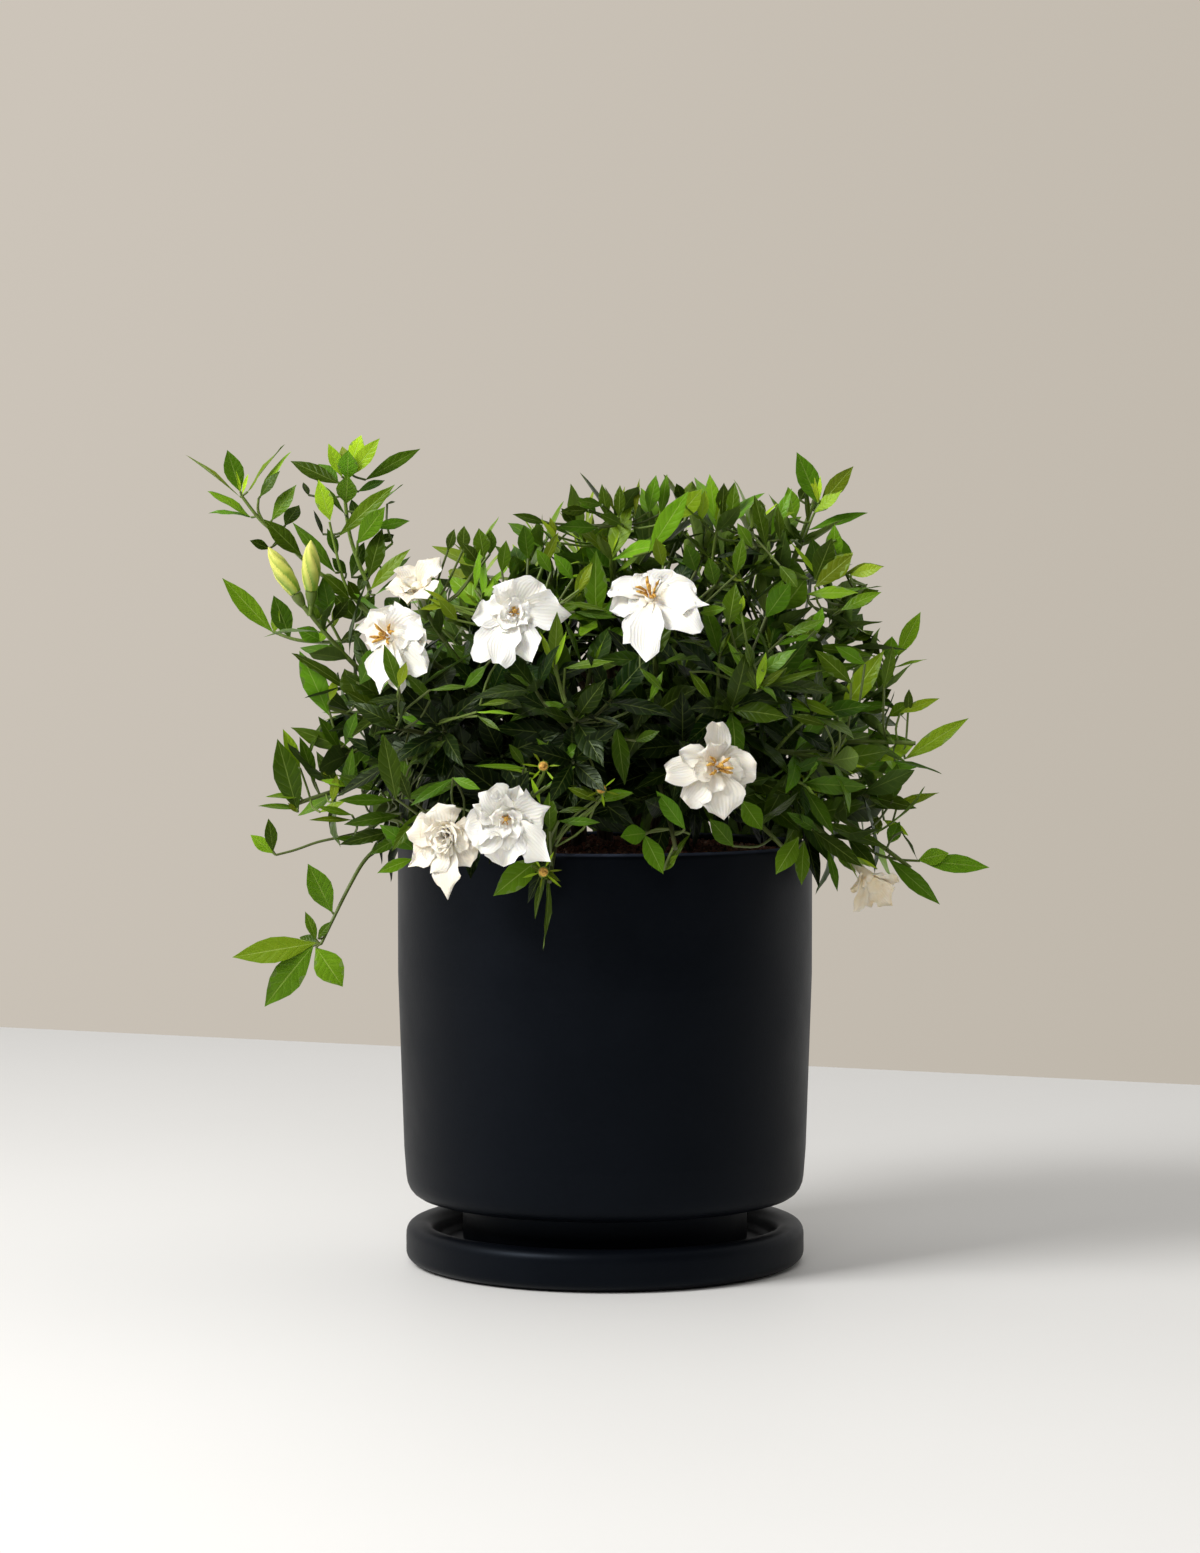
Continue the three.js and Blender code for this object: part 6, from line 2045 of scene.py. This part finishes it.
# A ring of stamens around the style. Their spots are (out, height, aside, radius), the style's
# are (height, radius), and both are for a size of 1.
stamens = {
    "count": 6,
    "spots": ((1.2, 0, 0, 0.35), (2.2, 4, 0, 0.55), (4, 6.5, 1, 0.75), (5.6, 7.4, 2.4, 0.3)),
    "style": ((0, 0.5), (6, 0.7), (8.5, 1.2), (10, 0.5)),
    "sizes": {"open": 1.15, "ragged": 1.15, "spiral": 0.5},  # the other hearts hide them
}
cupHeartRings = ((-0.6, 2.2), (0.5, 2.3), (1, 1.9), (0.5, 1.3), (1.1, 0.9), (1.5, 0.3))  # ahead, radius


# One petal, as the rows of its upper and under faces in the bloom's own frame, with Z its axis.
def petalRows(turn, length, breadth, lean, start, down, draw):
    radial = levelWay(turn)
    side = Vector((-math.sin(turn), math.cos(turn), 0))
    centre = radial * start[0] + up * start[1]
    base = centre.copy()
    seed, tucked, cup = 40 * draw(), 0.12 + 0.22 * draw(), 0.1 + 0.3 * draw()
    curl, ruffle, notch = 1.1 * draw() - 0.2, 0.06 + 0.12 * draw(), 0.4 * draw() - 0.28
    blunt = 0.6 + 0.5 * draw()
    phases = [draw() * 6.3 for _ in range(2)]
    rows, lower = [], []
    count = petalShape["rows"]
    for k in range(1, count):
        s = k / count
        angle = lean * (0.25 + 0.75 * min(1, 2.4 * s)) + curl * max(0, s - 0.6) ** 1.3
        direction = radial * math.sin(angle) + up * math.cos(angle)
        inward = up * math.sin(angle) - radial * math.cos(angle)
        centre = centre + direction * (length / count) + down * (2 * s * petalShape["sag"] * length / count)
        half = breadth / 2 * (0.12 + 0.88 * math.sin(math.pi * s ** 1.3) ** blunt)
        tuck = tucked * (1 - 0.5 * s)
        sideways = side * math.cos(tuck) + inward * math.sin(tuck)
        lifted = inward * math.cos(tuck) - side * math.sin(tuck)
        top, low = [], []
        for c in range(petalShape["columns"]):
            v = -1 + 2 * c / (petalShape["columns"] - 1)
            edge = abs(v)
            torn = 1 + 0.5 * s * edge * noise.noise(Vector((5.5 * s, 3 if v > 0 else 0, seed)))
            wavy = ruffle * breadth * edge ** 1.6 * s * math.sin(8.5 * s + phases[0] + (2.2 if v > 0 else 0))
            wavy += 0.05 * breadth * s ** 3 * math.sin(4.2 * v + phases[1])
            crumple = 1.8 * s * noise.noise(Vector((1.3 * v, 2.1 * s, seed)))
            crease = -0.5 * s * (1 - min(1, 4 * edge))
            lift = cup * half * v * v * (1 - 0.6 * s) + wavy + crumple + crease
            reach = notch * length * max(0, s - 0.6) * 2.5 * edge
            spot = centre + sideways * (half * v * torn) + lifted * lift + direction * reach
            thick = petalShape["thickness"] / 2 * (1 - v * v)
            top.append(spot + lifted * thick)
            low.append(spot - lifted * thick)
        rows.append(top)
        lower.append(low)
    return base, rows, lower, centre + direction * (length / count * (0.6 - 3 * max(notch, 0)))


# A mesh in the making, of petals and threads.
class Body:
    def __init__(self):
        self.points, self.faces, self.uvs, self.kinds, self.rims = [], [], [], [], []

    def petal(self, base, rows, lower, tip):
        points, faces, _, tops, lows = blankMesh(base, rows, lower, tip)
        first = len(self.points)
        columns = petalShape["columns"]
        uv = {0: (0, 0.5), 1: (1, 0.5)}
        for k, (top, low) in enumerate(zip(tops, lows)):
            for ids in (top, low):
                for c, vertex in enumerate(ids):
                    uv[vertex] = ((k + 1) / (len(tops) + 1), c / (columns - 1))
        rims = {v for top in tops for v in (top[0], top[-1])} | {0, 1}
        self.points += points
        self.faces += [[first + v for v in face] for face in faces]
        self.uvs += [[uv[v] for v in face] for face in faces]
        self.kinds += [0] * len(faces)
        self.rims += [first + v for v in rims]

    # A round thread along points, with a radius at each.
    def thread(self, spots, kind, sides=6):
        rings = []
        for k, (point, radius) in enumerate(spots):
            ahead = spots[min(k + 1, len(spots) - 1)][0] - spots[max(k - 1, 0)][0]
            axis = ahead.normalized()
            radial = squareTo(axis, referenceFor(axis), 0)
            ring = [point + Quaternion(axis, 2 * math.pi * i / sides) @ radial * radius for i in range(sides)]
            rings.append(range(len(self.points), len(self.points) + sides))
            self.points += ring
        quads = []
        for low, high in zip(rings, rings[1:]):
            quads += [[low[i], low[(i + 1) % sides], high[(i + 1) % sides], high[i]] for i in range(sides)]
        quads += [list(rings[0])[::-1], list(rings[-1])]
        self.faces += quads
        self.uvs += [[(0.5, 0.5)] * len(face) for face in quads]
        self.kinds += [kind] * len(quads)

    def mesh(self, name, matrix, materials):
        mesh = meshFrom(name, [matrix @ Vector(p) for p in self.points], self.faces)
        layer = mesh.uv_layers.new(name="UVMap")
        for polygon, uvs, kind in zip(mesh.polygons, self.uvs, self.kinds):
            polygon.material_index = kind
            for loop, uv in zip(polygon.loop_indices, uvs):
                layer.data[loop].uv = uv
        creaseRims(mesh, set(self.rims))
        for material in materials:
            mesh.materials.append(material)
        facesOut(mesh)
        return mesh


def addStamens(body, size, draw):
    for i in range(stamens["count"]):
        turn = 2 * math.pi * i / stamens["count"] + draw()
        out = levelWay(turn)
        bend = Vector((-out.y, out.x, 0)) * (2 * draw() - 1)
        spots = []
        for far, height, aside, radius in stamens["spots"]:
            spots.append(((out * far + up * height + bend * aside) * size, radius * size))
        body.thread(spots, 1)
    body.thread([(up * (height * size), radius) for height, radius in stamens["style"]], 1, 8)


def makeBloom(name, bloom, seed):
    draw = drawsFrom(seed)
    axis = Vector(bloom["facing"]).normalized()
    matrix, across = standOn(Vector(bloom["at"]), axis)
    down = matrix.to_3x3().inverted() @ -up
    body = Body()
    tube = ((-bloomTube["length"], bloomTube["radius"]), *bloomTube["throat"])
    body.thread([(up * height, radius) for height, radius in tube], 0, 12)
    lean = petalShape["outerLean"] * (0.75 if bloom["heart"] == "loose" else 1)
    for k, (degrees, length, breadth) in enumerate(bloom["petals"]):
        turn = math.radians(degrees)
        # The way square to the axis that has this turn as seen from the front.
        flat = Vector((math.cos(turn), 0, math.sin(turn)))
        flat.y = -flat.dot(axis) / axis.y
        stretch = min(flat.length, 1.35)
        turn = math.atan2(flat.dot(axis.cross(across)), flat.dot(across))
        start = (2.6, -4 + 0.7 * (k % 3))
        tilt = lean + 0.3 * (draw() - 0.5)
        body.petal(*petalRows(turn, length * stretch - 1, breadth, tilt, start, down, draw))
    for k, layer in enumerate(hearts[bloom["heart"]]):
        for i in range(layer["count"]):
            turn = 2 * math.pi * (i + 0.5 * (k % 2)) / layer["count"] + 0.7 * (draw() - 0.5)
            length = layer["length"] * (0.85 + 0.3 * draw())
            start = (2.4 - 0.5 * k, -1.6 + 0.9 * k)
            lean = layer["lean"] + 0.3 * (draw() - 0.5)
            breadth = length * (0.85 + 0.25 * draw())
            body.petal(*petalRows(turn, length, breadth, lean, start, down, draw))
    if bloom["heart"] in stamens["sizes"]:
        addStamens(body, stamens["sizes"][bloom["heart"]], draw)
    mesh = body.mesh(f"flower_{name}", matrix, [petalMaterial, stamenMaterial])
    giveAttribute(mesh, "age", "FLOAT", "POINT", [bloom["age"]] * len(mesh.vertices))
    piece = linkPiece(f"flower_{name}", mesh)
    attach(piece, rootBody)
    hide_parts(f"bloom_{name}")


for i, (name, bloom) in enumerate(blooms.items()):
    makeBloom(name, bloom, seedOf("blooms", i))


# The brown middles of the spent cups.
def makeCupHearts():
    body = Body()
    for at, facing in cupHearts:
        body.thread([(at + facing * ahead, radius) for ahead, radius in cupHeartRings], 0, 14)
    piece = linkPiece("cupHearts", body.mesh("cupHearts", Matrix(), [stamenMaterial]))
    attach(piece, rootBody)
    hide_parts("spray_front_face", "spray_front_left_drop")


makeCupHearts()
print("blooms opened")

# ------------------------------------------------ buds

budShape = {"folds": 5, "twist": 0.3, "sides": 60, "rows": 30, "depth": 0.16}
budGirths = ((0, 0.62), (0.18, 0.85), (0.42, 1), (0.66, 0.84), (0.86, 0.5), (1, 0.05))  # share, girth


def makeBud(name, bud):
    matrix, _ = standOn(bud["base"], Vector(bud["points"]).normalized())
    sides, rows = budShape["sides"], budShape["rows"]
    points, uvOf = [], []
    for k in range(rows + 1):
        share = k / rows
        girth = np.interp(share, *zip(*budGirths)) * bud["radius"]
        for i in range(sides):
            turn = 2 * math.pi * i / sides
            fold = (budShape["folds"] * (i / sides + budShape["twist"] * share ** 1.3)) % 1.0
            radius = girth * (1 - budShape["depth"] * (1 - min(fold, 3 * (1 - fold)) ** 0.5))
            x, y = radius * math.cos(turn), radius * math.sin(turn)
            points.append(matrix @ Vector((x, y, share * bud["length"])))
            uvOf.append((share, fold))
    faces = [list(range(sides))[::-1], [rows * sides + i for i in range(sides)]]
    for k in range(rows):
        for i in range(sides):
            j = (i + 1) % sides
            faces.append([k * sides + i, k * sides + j, (k + 1) * sides + j, (k + 1) * sides + i])
    mesh = meshFrom(f"furled_{name}", points, faces)
    giveUvs(mesh, uvOf)
    facesOut(mesh)
    mesh.materials.append(budMaterial)
    piece = linkPiece(f"furled_{name}", mesh)
    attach(piece, rootBody)
    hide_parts(f"bud_{name}")


for name, bud in buds.items():
    makeBud(name, bud)
print("buds furled")
